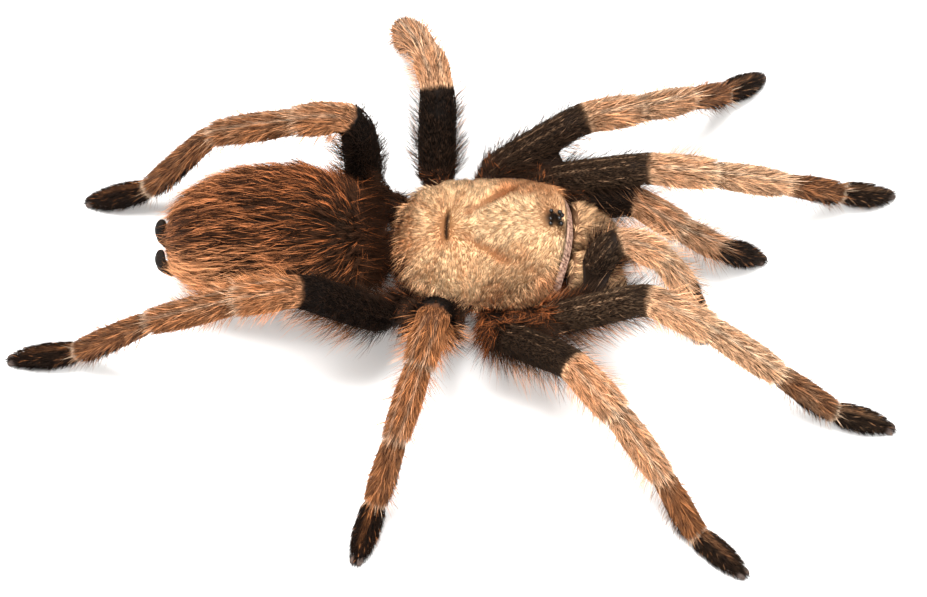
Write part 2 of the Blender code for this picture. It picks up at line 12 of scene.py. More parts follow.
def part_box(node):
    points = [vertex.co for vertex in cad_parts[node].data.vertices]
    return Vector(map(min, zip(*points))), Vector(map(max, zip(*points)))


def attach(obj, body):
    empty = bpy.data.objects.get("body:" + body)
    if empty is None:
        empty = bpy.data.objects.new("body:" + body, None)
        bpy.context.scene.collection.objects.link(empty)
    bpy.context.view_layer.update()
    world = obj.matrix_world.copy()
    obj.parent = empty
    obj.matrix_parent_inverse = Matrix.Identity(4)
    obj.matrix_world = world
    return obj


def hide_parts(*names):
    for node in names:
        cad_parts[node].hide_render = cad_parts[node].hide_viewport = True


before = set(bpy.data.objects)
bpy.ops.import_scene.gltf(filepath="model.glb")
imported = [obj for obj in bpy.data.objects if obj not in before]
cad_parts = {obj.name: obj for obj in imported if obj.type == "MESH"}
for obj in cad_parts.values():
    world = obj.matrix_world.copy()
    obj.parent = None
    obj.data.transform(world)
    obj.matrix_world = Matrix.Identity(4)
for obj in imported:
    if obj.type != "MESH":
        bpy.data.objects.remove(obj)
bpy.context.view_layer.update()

# --- The studio ------------------------------------------------------------------------------
# A white sweep of paper under a wide soft light from above and behind, with pale light all round.
# The camera is far off, above the animal's right side, so all ten limbs show.

MM = 0.001
TO_MIDDLE = Vector((0.195, -0.225, 0)) * MM  # from the shield's middle to the body's
shield_low, shield_high = (Vector(corner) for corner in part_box("carapace"))
MIDDLE = Vector(((shield_low.x + shield_high.x) / 2, (shield_low.y + shield_high.y) / 2, 0)) + TO_MIDDLE

CAMERA_RISE, CAMERA_TURN, CAMERA_ROLL = (math.radians(a) for a in (57.7, -2.9, 0.64))
CAMERA_AIM = MIDDLE + Vector((-2.64, -5.67, 8.0)) * MM
CAMERA_REACH = 0.45
CAMERA_LENS = 161.7


def in_scene(name, data):
    """An object with this mesh, light or camera, linked into the scene."""
    made = bpy.data.objects.new(name, data)
    bpy.context.scene.collection.objects.link(made)
    return made


def mesh_of(name, tool):
    """The mesh of a finished bmesh, which is then freed."""
    mesh = bpy.data.meshes.new(name)
    tool.to_mesh(mesh)
    tool.free()
    return mesh


level = Vector((math.cos(CAMERA_TURN), math.sin(CAMERA_TURN), 0))
forward = Vector((-math.sin(CAMERA_TURN), math.cos(CAMERA_TURN), 0))
back = Vector((0, 0, math.sin(CAMERA_RISE))) - forward * math.cos(CAMERA_RISE)
above = back.cross(level)
right = level * math.cos(CAMERA_ROLL) + above * math.sin(CAMERA_ROLL)
upward = above * math.cos(CAMERA_ROLL) - level * math.sin(CAMERA_ROLL)
camera = in_scene("camera", bpy.data.cameras.new("camera"))
camera.data.lens = CAMERA_LENS
camera.data.clip_start = 0.01
view = Matrix((right, upward, back)).transposed().to_4x4()
view.translation = CAMERA_AIM + back * CAMERA_REACH
camera.matrix_world = view
bpy.context.scene.camera = camera
bpy.context.scene.view_settings.view_transform = "Standard"

world = bpy.data.worlds.new("pale_room")
world.use_nodes = True
room = world.node_tree.nodes["Background"]
room.inputs["Color"].default_value = (1.0, 0.985, 0.96, 1.0)
room.inputs["Strength"].default_value = 0.62
bpy.context.scene.world = world


def soft_light(name, place, size, power):
    """A square lamp in metres and watts that faces the animal."""
    lamp = in_scene(name, bpy.data.lights.new(name, "AREA"))
    lamp.data.size = size
    lamp.data.energy = power
    lamp.location = place
    lamp.rotation_euler = (-Vector(place)).to_track_quat("-Z", "Y").to_euler()


soft_light("overhead", place=(-0.1, 0.04, 0.64), size=0.34, power=11.2)
soft_light("front_fill", place=(0.14, -0.44, 0.5), size=0.5, power=4.4)

FLOOR_HALF = 1.5
sweep = bmesh.new()
bmesh.ops.create_grid(sweep, x_segments=1, y_segments=1, size=FLOOR_HALF)
floor = in_scene("floor", mesh_of("floor", sweep))


class Field:
    """A socket in a material, so that values can be worked out as Python expressions."""

    def __init__(self, tree, socket=None):
        self.tree, self.socket = tree, socket

    def node(self, kind, settings=None, sockets=None, out=0):
        """Adds a node, sets its settings, then its sockets, and gives one of its outputs."""
        made = self.tree.nodes.new(kind)
        for key, value in (settings or {}).items():
            if key == "stops":
                ramp = made.color_ramp
                while len(ramp.elements) < len(value):
                    ramp.elements.new(0.5)
                for element, (place, colour) in zip(ramp.elements, value):
                    element.position, element.color = place, colour
            else:
                setattr(made, key, value)
        for key, value in (sockets or {}).items():
            if isinstance(value, Field):
                self.tree.links.new(value.socket, made.inputs[key])
            else:
                made.inputs[key].default_value = value
        return Field(self.tree, made.outputs[out])

    def maths(self, operation, first, second):
        return self.node("ShaderNodeMath", {"operation": operation}, {0: first, 1: second})

    def __add__(self, other):
        return self.maths("ADD", self, other)

    __radd__ = __add__

    def __sub__(self, other):
        return self.maths("SUBTRACT", self, other)

    def __rsub__(self, other):
        return self.maths("SUBTRACT", other, self)

    def __mul__(self, other):
        return self.maths("MULTIPLY", self, other)

    __rmul__ = __mul__

    def held(self, low=0.0, high=1.0):
        """The value mapped from low..high to 0..1, and held there."""
        return self.node("ShaderNodeMapRange", {}, {0: self, 1: low, 2: high})

    def mixed(self, first, second):
        """Goes from the first colour to the second as this value goes from 0 to 1."""
        colours = {6: first, 7: second}
        for key, value in colours.items():
            if not isinstance(value, Field):
                colours[key] = (*value, 1.0)
        return self.node("ShaderNodeMix", {"data_type": "RGBA"}, {0: self, **colours}, out=2)


def new_finish(name, roughness=0.7, **constants):
    """A material with its shader, and a Field to build the rest from."""
    made = bpy.data.materials.new(name)
    made.use_nodes = True
    shader = made.node_tree.nodes["Principled BSDF"]
    shader.inputs["Roughness"].default_value = roughness
    for key, value in constants.items():
        shader.inputs[key.replace("_", " ")].default_value = value
    return made, shader, Field(made.node_tree)


def wire(field, shader, key):
    field.tree.links.new(field.socket, shader.inputs[key])


paper, paper_shader, _ = new_finish("white_paper", 0.9)
paper_shader.inputs["Base Color"].default_value = (0.86, 0.855, 0.845, 1.0)
floor.data.materials.append(paper)

# --- The limbs' lines ------------------------------------------------------------------------
# Every leg and palp of the real animal is a chain of stiff tubes. Here each tube's centre line and
# girth are read from its solid by cutting it across, so that skin and coat follow the same pose.

COAT_DEPTH = 0.35 * MM
STATION_GAP = 0.4 * MM  # between the stations along a limb
METATARSUS_SHARE = {"1": 0.557, "2": 0.552, "3": 0.579, "4": 0.627}  # of the foot's whole length
TUBE_CUTS = (0.14, 0.32, 0.5, 0.68, 0.86)  # where a thigh, knee or shin is measured, from end to end
FOOT_CUTS = (0.08, 0.2, 0.32, 0.44, 0.55, 0.66, 0.78, 0.88, 0.95)
TIP_RADIUS = 0.45 * MM
TIP_HEIGHT = 0.5 * MM  # of the foot's tip above the floor, at the least
FLAT_SHARE = 1.03  # makes up for the width that a flat-sided tube loses against a round one


def merged(node):
    made = bmesh.new()
    made.from_mesh(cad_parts[node].data)
    bmesh.ops.remove_doubles(made, verts=made.verts, dist=1e-7)
    return made


def end_faces(node):
    """The middles of the two flat ends of a tube's solid, which are its largest faces."""
    tool = merged(node)
    bmesh.ops.dissolve_limit(tool, angle_limit=math.radians(0.3), verts=tool.verts, edges=tool.edges)
    ends = sorted(tool.faces, key=lambda face: -face.calc_area())[:2]
    return [face.calc_center_median_weighted() for face in ends]


def cut_across(tool, spot, way):
    """Middle, half width and half height of a tube's cut at a spot, square to a direction."""
    copy = tool.copy()
    geometry = list(copy.verts) + list(copy.edges) + list(copy.faces)
    cut = bmesh.ops.bisect_plane(copy, geom=geometry, dist=1e-8, plane_co=spot, plane_no=way)["geom_cut"]
    across = Vector((0, 0, 1)).cross(way).normalized()
    up = way.cross(across)
    found = [(v.co.dot(across), v.co.dot(up)) for v in cut if isinstance(v, bmesh.types.BMVert)]
    low, high = np.min(found, axis=0), np.max(found, axis=0)
    middle = across * (low[0] + high[0]) / 2 + up * (low[1] + high[1]) / 2 + way * spot.dot(way)
    return middle, (high[0] - low[0]) / 2 * FLAT_SHARE, (high[1] - low[1]) / 2


def limb_line(name, foot_node, foot_share):
    """Stations from hip to tip: centre, directions, half sizes, and the segment each one is in.

    The segment value counts 0 to 1 along the femur, then patella, tibia, metatarsus and tarsus."""
    knots = []
    start = None
    for index, part in enumerate(("femur", "patella", "tibia")):
        node = f"{name}_{part}"
        ends = end_faces(node)
        near_to = start or MIDDLE + Vector((0, 0, 8 * MM))
        ends.sort(key=lambda end: (end - near_to).length)
        tool = merged(node)
        if start is None:
            knots.append((ends[0], None, None, 0.0))
        way = (ends[1] - ends[0]).normalized()
        for share in TUBE_CUTS:
            section = cut_across(tool, ends[0].lerp(ends[1], share), way)
            knots.append((*section, index + share))
        knots.append((ends[1], None, None, index + 1.0))
        start = ends[1]
    tool = merged(foot_node)
    tip = max((v.co for v in tool.verts), key=lambda co: (co - start).length).copy()
    way = (tip - start).normalized()
    for share in FOOT_CUTS:
        if share < foot_share:
            value = 3 + share / foot_share
        else:
            value = 4 + (share - foot_share) / (1 - foot_share)
        knots.append((*cut_across(tool, start.lerp(tip, share), way), value))
    tip.z = max(tip.z, TIP_HEIGHT)
    knots.append((tip, TIP_RADIUS, TIP_RADIUS, 5.0))
    points = np.array([knot[0] for knot in knots])
    travel = np.r_[0, np.cumsum(np.linalg.norm(np.diff(points, axis=0), axis=1))]
    count = int(travel[-1] / STATION_GAP)
    steps = np.linspace(0, travel[-1], count)
    centre = np.stack([np.interp(steps, travel, points[:, k]) for k in range(3)], axis=1)
    for _ in range(3):
        centre[1:-1] = (centre[:-2] + 2 * centre[1:-1] + centre[2:]) / 4
    sized = [i for i, knot in enumerate(knots) if knot[1]]
    line = {"name": name, "centre": centre, "length": travel[-1]}
    line["wide"] = np.interp(steps, travel[sized], [knots[i][1] for i in sized])
    line["high"] = np.interp(steps, travel[sized], [knots[i][2] for i in sized])
    line["segment"] = np.interp(steps, travel, [knot[3] for knot in knots])
    along = np.gradient(centre, axis=0)
    line["along"] = along / np.linalg.norm(along, axis=1, keepdims=True)
    across = np.cross((0.0, 0.0, 1.0), line["along"])
    line["across"] = across / np.linalg.norm(across, axis=1, keepdims=True)
    line["up"] = np.cross(line["along"], line["across"])
    return line


lines = {}
for side in ("left", "right"):
    for pair in "1234":
        limb = f"leg_{side}_{pair}"
        lines[limb] = limb_line(limb, f"{limb}_foot", METATARSUS_SHARE[pair])
    palp = f"palp_{side}"
    lines[palp] = limb_line(palp, f"{palp}_tarsus", 0.0)

# --- The markings ----------------------------------------------------------------------------
# The hair's colours: straw to brown on the outer legs, black-brown velvet on the thighs and feet, rust
# and painted shade in the joints. Skin and coat read the same marks: dark, rust, pale and brown, from 0 to
# 1.

MARKS = ("dark", "rust", "pale", "brown")
# How brown each limb is, from the straw front legs to the browner rear ones
BROWNNESS = {
    "leg_left_1": 0.15, "leg_left_2": 0.38, "leg_left_3": 0.5, "leg_left_4": 0.78,
    "leg_right_1": 0.02, "leg_right_2": 0.19, "leg_right_3": 0.98, "leg_right_4": 0.88,
    "palp_left": 0.52, "palp_right": 0.1,
}
# How much rust there is in the hair of the warmer limbs
WARMTH = {"leg_right_2": 0.22, "leg_right_3": 0.22, "leg_right_4": 0.1, "leg_left_4": 0.06}
# How far a painted sheen, with some pale hair in it, lightens the velvet of the front thighs
FEMUR_SHEEN = {
    "leg_left_1": 0.06, "leg_right_1": 0.08, "leg_left_2": 0.05, "leg_right_2": 0.03, "palp_right": 0.05,
}


def smooth(value, low, high):
    """0 below low, 1 above high, and an even slope between."""
    share = np.clip((value - low) / (high - low), 0, 1)
    return share * share * (3 - 2 * share)


def limb_marks(name, segment, turn):
    """Marks at a segment value and at a turn round the limb, in radians from its side to its top."""
    top = np.sin(turn)
    off_top = np.abs(turn - math.pi / 2)
    femur = 1 - smooth(segment, 1.0, 1.03)
    is_palp = name.startswith("palp")
    tarsus = smooth(segment, 2.68, 2.76) if is_palp else smooth(segment, 4.0, 4.05)
    metatarsus = smooth(segment, 2.96, 3.15) * (1 - tarsus)
    ring = 0 if is_palp else smooth(segment, 3.9, 3.96) * (1 - smooth(segment, 3.99, 4.04))
    joint_shade_and_rust = np.exp(-(((segment % 1 - 0.025) / 0.03) ** 2)) * (segment > 1.5) * (segment < 3.5)
    before_joint = smooth(segment % 1, 0.86, 0.96) * (segment > 1) * (segment < 3)
    pads = smooth(segment, 3.08, 3.5) * smooth(-top, -0.1, 0.4) * (1 - ring)
    streak = smooth(top, 0.93, 0.995) * tarsus * (not is_palp) * (1 - smooth(segment, 4.4, 4.85))
    lines_on_top = np.exp(-(((off_top - 0.42) / 0.13) ** 2))
    lines_on_top = lines_on_top * smooth(segment, 1.05, 1.2) * (1 - smooth(segment, 2.8, 3.2))
    # painted highlight: a thin line along the thigh's top, with a row of pale hair
    thigh_sheen_line = np.exp(-(((off_top - 0.3) / 0.05) ** 2)) * (1 - smooth(segment, 0.8, 0.95))
    velvet = 0.99 - FEMUR_SHEEN.get(name, 0.0) * (1 + 6 * thigh_sheen_line)
    dark = velvet * femur + tarsus * (0.98 - 0.2 * streak) + 0.85 * pads + 0.4 * metatarsus
    # painted shade in the crease just past each joint, with a little rust
    dark = dark + 0.45 * joint_shade_and_rust
    tibia = smooth(segment, 1.95, 2.25) * (1 - metatarsus)
    brown = BROWNNESS[name] + 0.2 * tibia + 0.85 * metatarsus - 0.2 * ring - 0.15 * before_joint
    knee_glow = smooth(segment, 1.0, 1.1) * (1 - smooth(segment, 1.5, 2.0))
    rust = 0.3 * streak + 0.2 * knee_glow + 0.15 * joint_shade_and_rust + WARMTH.get(name, 0.0) * (1 - femur)
    pale = 0.5 * lines_on_top * (1 - 0.6 * BROWNNESS[name]) + 0.6 * ring + 0.28 * before_joint
    dark = (dark + 0.3 * (name == "leg_right_3") * knee_glow) * (1 - 0.8 * ring)
    marks = {"dark": dark, "rust": rust, "pale": pale, "brown": brown}
    return {mark: np.clip(value, 0, 1) for mark, value in marks.items()}


PINCH_DEPTH = 0.22  # the share of its girth that a limb lacks beside a joint
PINCH_REACH = 0.045  # along the limb, in segments


def joint_pinch(segment):
    """The missing share of a limb's girth at a segment value."""
    beyond = (segment - np.round(segment)) / PINCH_REACH
    return PINCH_DEPTH * np.exp(-(beyond**2)) * (segment > 1.5) * (segment < 4.5)


PAINTED_ROOT_SHADE = 0.32  # painted shade: how light a hair is at its root, deep in the coat
PAINTED_SHADE_LIFT = 0.95  # how far the painted shade lifts towards a hair's tip
BLOTCH_SCALE, BLOTCH_SHARE = 420.0, 0.24


def hair_paint(name, velvet, straw, brown, rust, pale, spread, roughness=0.6):
    """A hair finish: five colours mixed by the marks, with painted shade darkening each hair towards its
    root, and a tone of its own for each hair.
    """
    made, shader, paint = new_finish(name, roughness, Specular_IOR_Level=0.05)
    read = {
        key: paint.node("ShaderNodeAttribute", {"attribute_name": key}, out="Fac")
        for key in (*MARKS, "tone", "tip")
    }
    place = paint.node("ShaderNodeTexCoord", out="Object")
    blotch = paint.node("ShaderNodeTexNoise", {}, {"Vector": place, "Scale": BLOTCH_SCALE, "Detail": 2.0})
    browner = read["brown"] + blotch.held(0.35, 0.65) * BLOTCH_SHARE - BLOTCH_SHARE / 2
    colour = browner.mixed(straw, brown)
    for mark, own_colour in (("rust", rust), ("pale", pale), ("dark", velvet)):
        colour = read[mark].mixed(colour, own_colour)
    # painted shade: each hair is darker towards its root, where the coat shades it, times its own tone
    light = (read["tone"] * spread + (1 - spread * 0.5)) * (read["tip"] * PAINTED_SHADE_LIFT + PAINTED_ROOT_SHADE)
    shade = paint.node("ShaderNodeCombineColor", {}, {i: light for i in range(3)})
    multiply = {"data_type": "RGBA", "blend_type": "MULTIPLY"}
    lit = paint.node("ShaderNodeMix", multiply, {0: 1.0, 6: colour, 7: shade}, out=2)
    wire(lit, shader, "Base Color")
    return made


# --- The skin --------------------------------------------------------------------------------
# One soft hide over legs, palps, hips, breast and abdomen. The solids are joined, swollen until their
# thin gaps close, remeshed as one body, and shrunk back until the hide lies under the coat.

SWELL = 0.14 * MM
SKIN_VOXEL = 0.32 * MM
ABDOMEN_COAT = 0.5 * MM  # how much deeper the hide lies there than under the limbs' coat
LIMB_GIRTH = 2.6 * MM  # how far from a limb's centre line its markings reach
CHUNK = 20000  # points of the hide worked on at once
flesh = [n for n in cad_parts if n.startswith(("leg_", "palp_", "sternum", "abdomen"))]


def remeshed(name, nodes, swell, voxel, shrink, smoothing, deeper=None):
    """One even mesh over several solids, shrink inside theirs, or deeper for the nodes named there."""
    joined = bmesh.new()
    for node in nodes:
        part = merged(node)
        part.normal_update()
        outwards = swell - (deeper or {}).get(node, 0.0)
        moves = [(v, v.normal * outwards) for v in part.verts]
        for v, move in moves:
            v.co += move
        joined.from_mesh(mesh_of("part", part))
    made = in_scene(name, mesh_of(name, joined))
    remesh = made.modifiers.new("even", "REMESH")
    remesh.mode = "VOXEL"
    remesh.voxel_size = voxel
    ease = made.modifiers.new("ease", "SMOOTH")
    ease.iterations = smoothing
    sink = made.modifiers.new("sink", "DISPLACE")
    sink.mid_level = 0.0
    sink.strength = -(shrink + swell)
    bpy.context.view_layer.update()
    final = bpy.data.meshes.new_from_object(made.evaluated_get(bpy.context.evaluated_depsgraph_get()))
    made.modifiers.clear()
    made.data = final
    final.name = name
    return made


def put_attribute(mesh, name, values):
    """One number at each point of a mesh, for its material to read."""
    layer = mesh.attributes.new(name, "FLOAT", "POINT")
    layer.data.foreach_set("value", np.asarray(values, dtype=np.float32))


def put_marks(mesh, marks, tone, tip):
    """The marks of a bare surface, with the painted root shade that hair_paint gives it, set by tip."""
    for mark, values in marks.items():
        put_attribute(mesh, mark, values)
    put_attribute(mesh, "tone", np.full(len(mesh.vertices), tone))
    put_attribute(mesh, "tip", np.full(len(mesh.vertices), tip))


def points_of(mesh):
    """The places of a mesh's points, one in each row."""
    flat = np.empty(len(mesh.vertices) * 3, dtype=np.float32)
    mesh.vertices.foreach_get("co", flat)
    return flat.reshape(-1, 3).astype(float)


skin = remeshed("skin", flesh, SWELL, SKIN_VOXEL, COAT_DEPTH, 5, {"abdomen": ABDOMEN_COAT})
skin_points = points_of(skin.data)
nearest = np.full(len(skin_points), 1e9)
skin_marks = {m: np.zeros(len(skin_points)) for m in MARKS}
skin_marks["dark"] += 0.9
skin_pull = np.zeros_like(skin_points)
for limb, line in lines.items():
    for start in range(0, len(skin_points), CHUNK):
        chunk = slice(start, start + CHUNK)
        gap = np.linalg.norm(skin_points[chunk, None] - line["centre"][None], axis=2)
        station = gap.argmin(axis=1)
        gap = gap.min(axis=1)
        closer = (gap < LIMB_GIRTH) & (gap < nearest[chunk])
        out = skin_points[chunk] - line["centre"][station]
        turn = np.arctan2((out * line["up"][station]).sum(1), (out * line["across"][station]).sum(1))
        marks = limb_marks(limb, line["segment"][station], turn)
        for mark in MARKS:
            skin_marks[mark][chunk][closer] = marks[mark][closer]
        skin_pull[chunk][closer] = -(out * joint_pinch(line["segment"][station])[:, None])[closer]
        nearest[chunk][closer] = gap[closer]
skin.data.vertices.foreach_set("co", (skin_points + skin_pull).astype(np.float32).ravel())
# the hide carries deep painted shade, as at a hair's root, through its low tip value
put_marks(skin.data, skin_marks, tone=0.4, tip=0.1)
skin.data.shade_smooth()
hide = hair_paint(
    "hide", velvet=(0.006, 0.004, 0.003), straw=(0.26, 0.13, 0.065), brown=(0.13, 0.055, 0.025),
    rust=(0.2, 0.06, 0.02), pale=(0.4, 0.26, 0.16), spread=0.2,
)
skin.data.materials.append(hide)
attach(skin, "root")
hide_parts(*flesh)

# --- The legs' and palps' coat ---------------------------------------------------------------
# Short dense hair lies towards the foot on every segment, with longer bristles standing out of it,
# and thick brushes under the feet. Each hair is a slender closed spike, rooted in the skin.

rng = np.random.default_rng(11)
PATCH = 0.003  # the size of one hair's own patch in the bake layout
ROOT_SINK = 0.08 * MM  # how far a hair's root is sunk in the skin
HAIR_FLATNESS = 0.6  # a hair's thickness for its width
FLOOR_CLEARANCE = 0.03 * MM
FULL_LENGTH = 47e-3  # of a limb that has the whole number of hairs
PILE_DEPTH = 0.28 * MM  # from a limb's outline to the roots of its short hair
PILE_COUNT, PILE_WIDTH, PILE_SWAY = 18500, 0.074 * MM, 0.1
LIMB_BRISTLES, BRISTLE_WIDTH, BRISTLE_SWAY, BRISTLE_CURL = 2700, 0.055 * MM, 0.3, 0.15


def unit(vectors):
    """The same directions, with a length of 1."""
    return vectors / np.maximum(np.linalg.norm(vectors, axis=1, keepdims=True), 1e-12)


def hair_piece(name, hairs, finish):
    """One mesh of closed spikes, from rows of: root, out, lie, curl, length, width, layout and marks."""
    count = len(hairs["root"])
    lie = unit(hairs["lie"])
    side = unit(np.cross(lie, hairs["out"]))
    depth = np.cross(side, lie)
    length = hairs["length"][:, None]
    width = hairs["width"][:, None] / 2
    root = hairs["root"]
    curved = hairs["curl"] is not None
    corners = [math.radians(a) for a in (90, 210, 330)]
    ring = [side * math.cos(a) + depth * math.sin(a) * HAIR_FLATNESS for a in corners]
    points = [root + r * width for r in ring]
    if curved:
        middle = root + lie * length * 0.5
        points += [middle + r * width * 0.75 for r in ring]
        points.append(middle + unit(lie + hairs["curl"]) * length * 0.5)
        faces = [(0, 2, 1)]
        faces += [(i, (i + 1) % 3, (i + 1) % 3 + 3) for i in range(3)]
        faces += [(i, (i + 1) % 3 + 3, i + 3) for i in range(3)]
        faces += [(i + 3, (i + 1) % 3 + 3, 6) for i in range(3)]
    else:
        points.append(root + lie * length)
        faces = [(0, 2, 1), (0, 1, 3), (1, 2, 3), (2, 0, 3)]
    per = len(points)
    cloud = np.stack(points, axis=1)
    cloud[:, :, 2] = np.maximum(cloud[:, :, 2], FLOOR_CLEARANCE)
    corner_ids = np.array(faces).ravel()
    loops = (np.arange(count)[:, None] * per + corner_ids[None]).ravel()
    mesh = bpy.data.meshes.new(name)
    mesh.vertices.add(count * per)
    mesh.vertices.foreach_set("co", cloud.astype(np.float32).ravel())
    mesh.loops.add(len(loops))
    mesh.loops.foreach_set("vertex_index", loops.astype(np.int32))
    mesh.polygons.add(count * len(faces))
    mesh.polygons.foreach_set("loop_start", np.arange(0, len(loops), 3, dtype=np.int32))
    mesh.update(calc_edges=True)
    spots = [(0.0, 0.0), (1.0, 0.0), (0.5, 1.0)] * (2 if curved else 1) + [(0.5, 0.4)]
    if curved:
        spots[3:6] = [(0.2, 0.15), (0.8, 0.15), (0.5, 0.75)]
    layout = np.clip(hairs["layout"], 0, 1 - PATCH)[:, None] + np.array(spots)[None] * PATCH
    mesh.uv_layers.new(name="OFBake").data.foreach_set(
        "uv", layout[:, corner_ids].astype(np.float32).ravel()
    )
    for mark in (*MARKS, "tone"):
        put_attribute(mesh, mark, np.repeat(hairs[mark], per))
    # tip: 0 at the root and 1 at the tip, for hair_paint's painted root shade
    put_attribute(mesh, "tip", np.tile([0, 0, 0, 0.7, 0.7, 0.7, 1] if curved else [0, 0, 0, 1], count))
    mesh.shade_smooth()
    mesh.materials.append(finish)
    made = in_scene(name, mesh)
    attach(made, "root")


def gathered(hairs, every, pull):
    """Draws the tips of neighbouring hairs together into small locks, each with its own shade."""
    locks = len(hairs["root"]) // every
    leaders = KDTree(locks)
    for index in range(locks):
        leaders.insert(hairs["root"][index], index)
    leaders.balance()
    own = np.array([leaders.find(root)[1] for root in hairs["root"]])
    tips = hairs["root"] + hairs["lie"] * hairs["length"][:, None]
    aim = tips * (1 - pull) + tips[own] * pull - hairs["root"]
    hairs["lie"], hairs["length"] = unit(aim), np.linalg.norm(aim, axis=1)
    hairs["tone"] = 0.65 * hairs["tone"][own] + 0.35 * hairs["tone"]
    return hairs


def limb_spots(line, count, density):
    """Random places on a limb: interpolated stations and a turn round it, by surface and density."""
    weight = (line["wide"] + line["high"]) * density(line["segment"])
    stations = rng.choice(len(weight), count * 2, p=weight / weight.sum())
    place = np.clip(stations + rng.random(count * 2) - 0.5, 0, len(weight) - 1.001)[:count]
    low = place.astype(int)
    share = (place - low)[:, None]
    spot = {"layout_u": place / len(weight), "turn": rng.random(count) * 2 * math.pi}
    for key in ("centre", "along", "across", "up"):
        spot[key] = line[key][low] * (1 - share) + line[key][low + 1] * share
    for key in ("wide", "high", "segment"):
        spot[key] = line[key][low] * (1 - share[:, 0]) + line[key][low + 1] * share[:, 0]
    return spot


def limb_hairs(name, line, count, density, length, lean, sway, width, curl=0.0, depth=COAT_DEPTH):
    """Hairs on one limb. length and lean are functions of segment and turn. A lean of 0 lies flat."""
    spot = limb_spots(line, count, density)
    turn = spot["turn"]
    cos, sin = np.cos(turn)[:, None], np.sin(turn)[:, None]
    kept = 1 - joint_pinch(spot["segment"])
    wide, high = ((np.maximum(spot[k] - depth, 0.15 * MM) * kept)[:, None] for k in ("wide", "high"))
    out = unit(spot["across"] * cos / wide + spot["up"] * sin / high)
    around = np.cross(spot["along"], out)
    root = spot["centre"] + spot["across"] * wide * cos + spot["up"] * high * sin
    tilt = lean(spot["segment"], turn)[:, None] * (1 + 0.25 * rng.standard_normal((count, 1)))
    aslant = sway * rng.standard_normal((count, 1))
    lie = unit(spot["along"] + out * tilt + around * aslant)
    marks = limb_marks(name, spot["segment"], turn)
    hairs = {"root": root - out * ROOT_SINK, "out": out, "lie": lie, "curl": None, **marks}
    if curl:
        hairs["curl"] = spot["along"] * curl * (0.5 + rng.random((count, 1))) - out * curl * 0.3
    hairs["length"] = length(spot["segment"], turn) * (0.65 + 0.7 * rng.random(count))
    hairs["width"] = width * (0.75 + 0.5 * rng.random(count))
    hairs["layout"] = np.stack([spot["layout_u"], turn / (2 * math.pi)], axis=1)
    hairs["tone"] = rng.random(count)
    hairs["segment"], hairs["turn"] = spot["segment"], turn
    return hairs


def pile_density(segment):
    """More hairs on the velvet thigh, the knee and the brush-like foot than on the shins."""
    knee = 1.5 * np.exp(-(((segment - 1.03) / 0.07) ** 2))
    return 1.0 + 0.2 * (segment < 1) + 0.6 * (segment > 4) + 0.2 * (segment > 3) + knee


def pile_length(segment, turn):
    """Short next to each joint, longest in the middle of the shins."""
    share = segment % 1
    shin = smooth(segment, 1.0, 1.15) * (1 - smooth(segment, 3.7, 4.0))
    shin = shin * (0.35 + 0.65 * smooth(share, 0.0, 0.3)) * (1 - 0.4 * smooth(share, 0.88, 1.0))
    thigh = 1 - smooth(segment, 0.9, 1.0)
    return (0.62 - 0.14 * thigh + 0.52 * shin + 0.12 * smooth(segment, 4.0, 4.2)) * MM


def pile_lean(segment, turn):
    """Nearly flat, but standing in the brushes under the feet."""
    under = smooth(-np.sin(turn), 0.1, 0.7) * smooth(segment, 3.3, 3.8)
    return 0.18 + 0.25 * (segment > 4) + 0.6 * under


def bristle_density(segment):
    """Most bristles next to the body, fewest on the feet and beside the joints."""
    beyond_thigh = np.where(segment < 3, 1.0, np.where(segment < 4, 0.85, 0.25))
    full = np.where(segment < 1, 1.3 + (segment < 0.4), beyond_thigh)
    knee = np.exp(-(((segment - 1) / 0.12) ** 2))
    return full * (1 - 0.8 * knee) * (1 - 4 * joint_pinch(segment))


def bristle_length(segment, turn):
    """Longest under the thighs, and shorter towards the foot."""
    thigh = 1 - smooth(segment, 0.9, 1.1)
    under = smooth(-np.sin(turn), 0.2, 0.8)
    foot = smooth(segment, 3.9, 4.2)
    root = 1 - smooth(segment, 0.2, 0.5)
    on_top = smooth(np.sin(turn), 0.3, 0.9)
    on_thigh = (0.5 + 1.0 * under + 0.5 * root - 1.5 * on_top) * thigh
    return (2.3 + on_thigh - 0.5 * smooth(segment, 2.8, 3.6) - 0.8 * foot) * MM


def bristle_lean(segment, turn):
    """Standing furthest out of the limb's sides, and of the thigh's underside."""
    on_thigh = segment < 1
    under = on_thigh * (np.sin(turn) < -0.5)
    return 0.75 - 0.4 * on_thigh + (0.8 - 0.2 * on_thigh) * np.cos(turn) ** 2 + 0.6 * under


fur = hair_paint(
    "leg_hair", velvet=(0.01, 0.0055, 0.0035), straw=(0.99, 0.61, 0.36), brown=(0.3, 0.13, 0.06),
    rust=(0.78, 0.28, 0.09), pale=(0.99, 0.8, 0.58), spread=1.3,
)


def colour_bristles(limb, bristles):
    """Black on top of the thighs, rust under them, and a mix of brown, rust and black on the shins."""
    chance = rng.random(len(bristles["turn"]))
    on_thigh = bristles["segment"] < 1
    rusty = (np.sin(bristles["turn"]) < -0.5) & (chance < 0.6)
    glint = on_thigh & (chance > 1 - 0.4 * FEMUR_SHEEN.get(limb, 0.0))
    shin_dark = np.where(chance < 0.16, 0.7, bristles["dark"] * 0.6)
    if limb == "leg_right_3":
        shin_dark = shin_dark * 0.5
    bristles["dark"] = np.where(on_thigh, np.where(rusty, 0.1, 0.98), shin_dark)
    bristles["dark"] = np.where(glint, 0.5, bristles["dark"])
    bristles["rust"] = np.where(on_thigh, 0.75, np.clip(bristles["rust"] + 0.45 * chance, 0, 1))
    bristles["pale"] = np.where(on_thigh, 0.35 * chance, bristles["pale"])


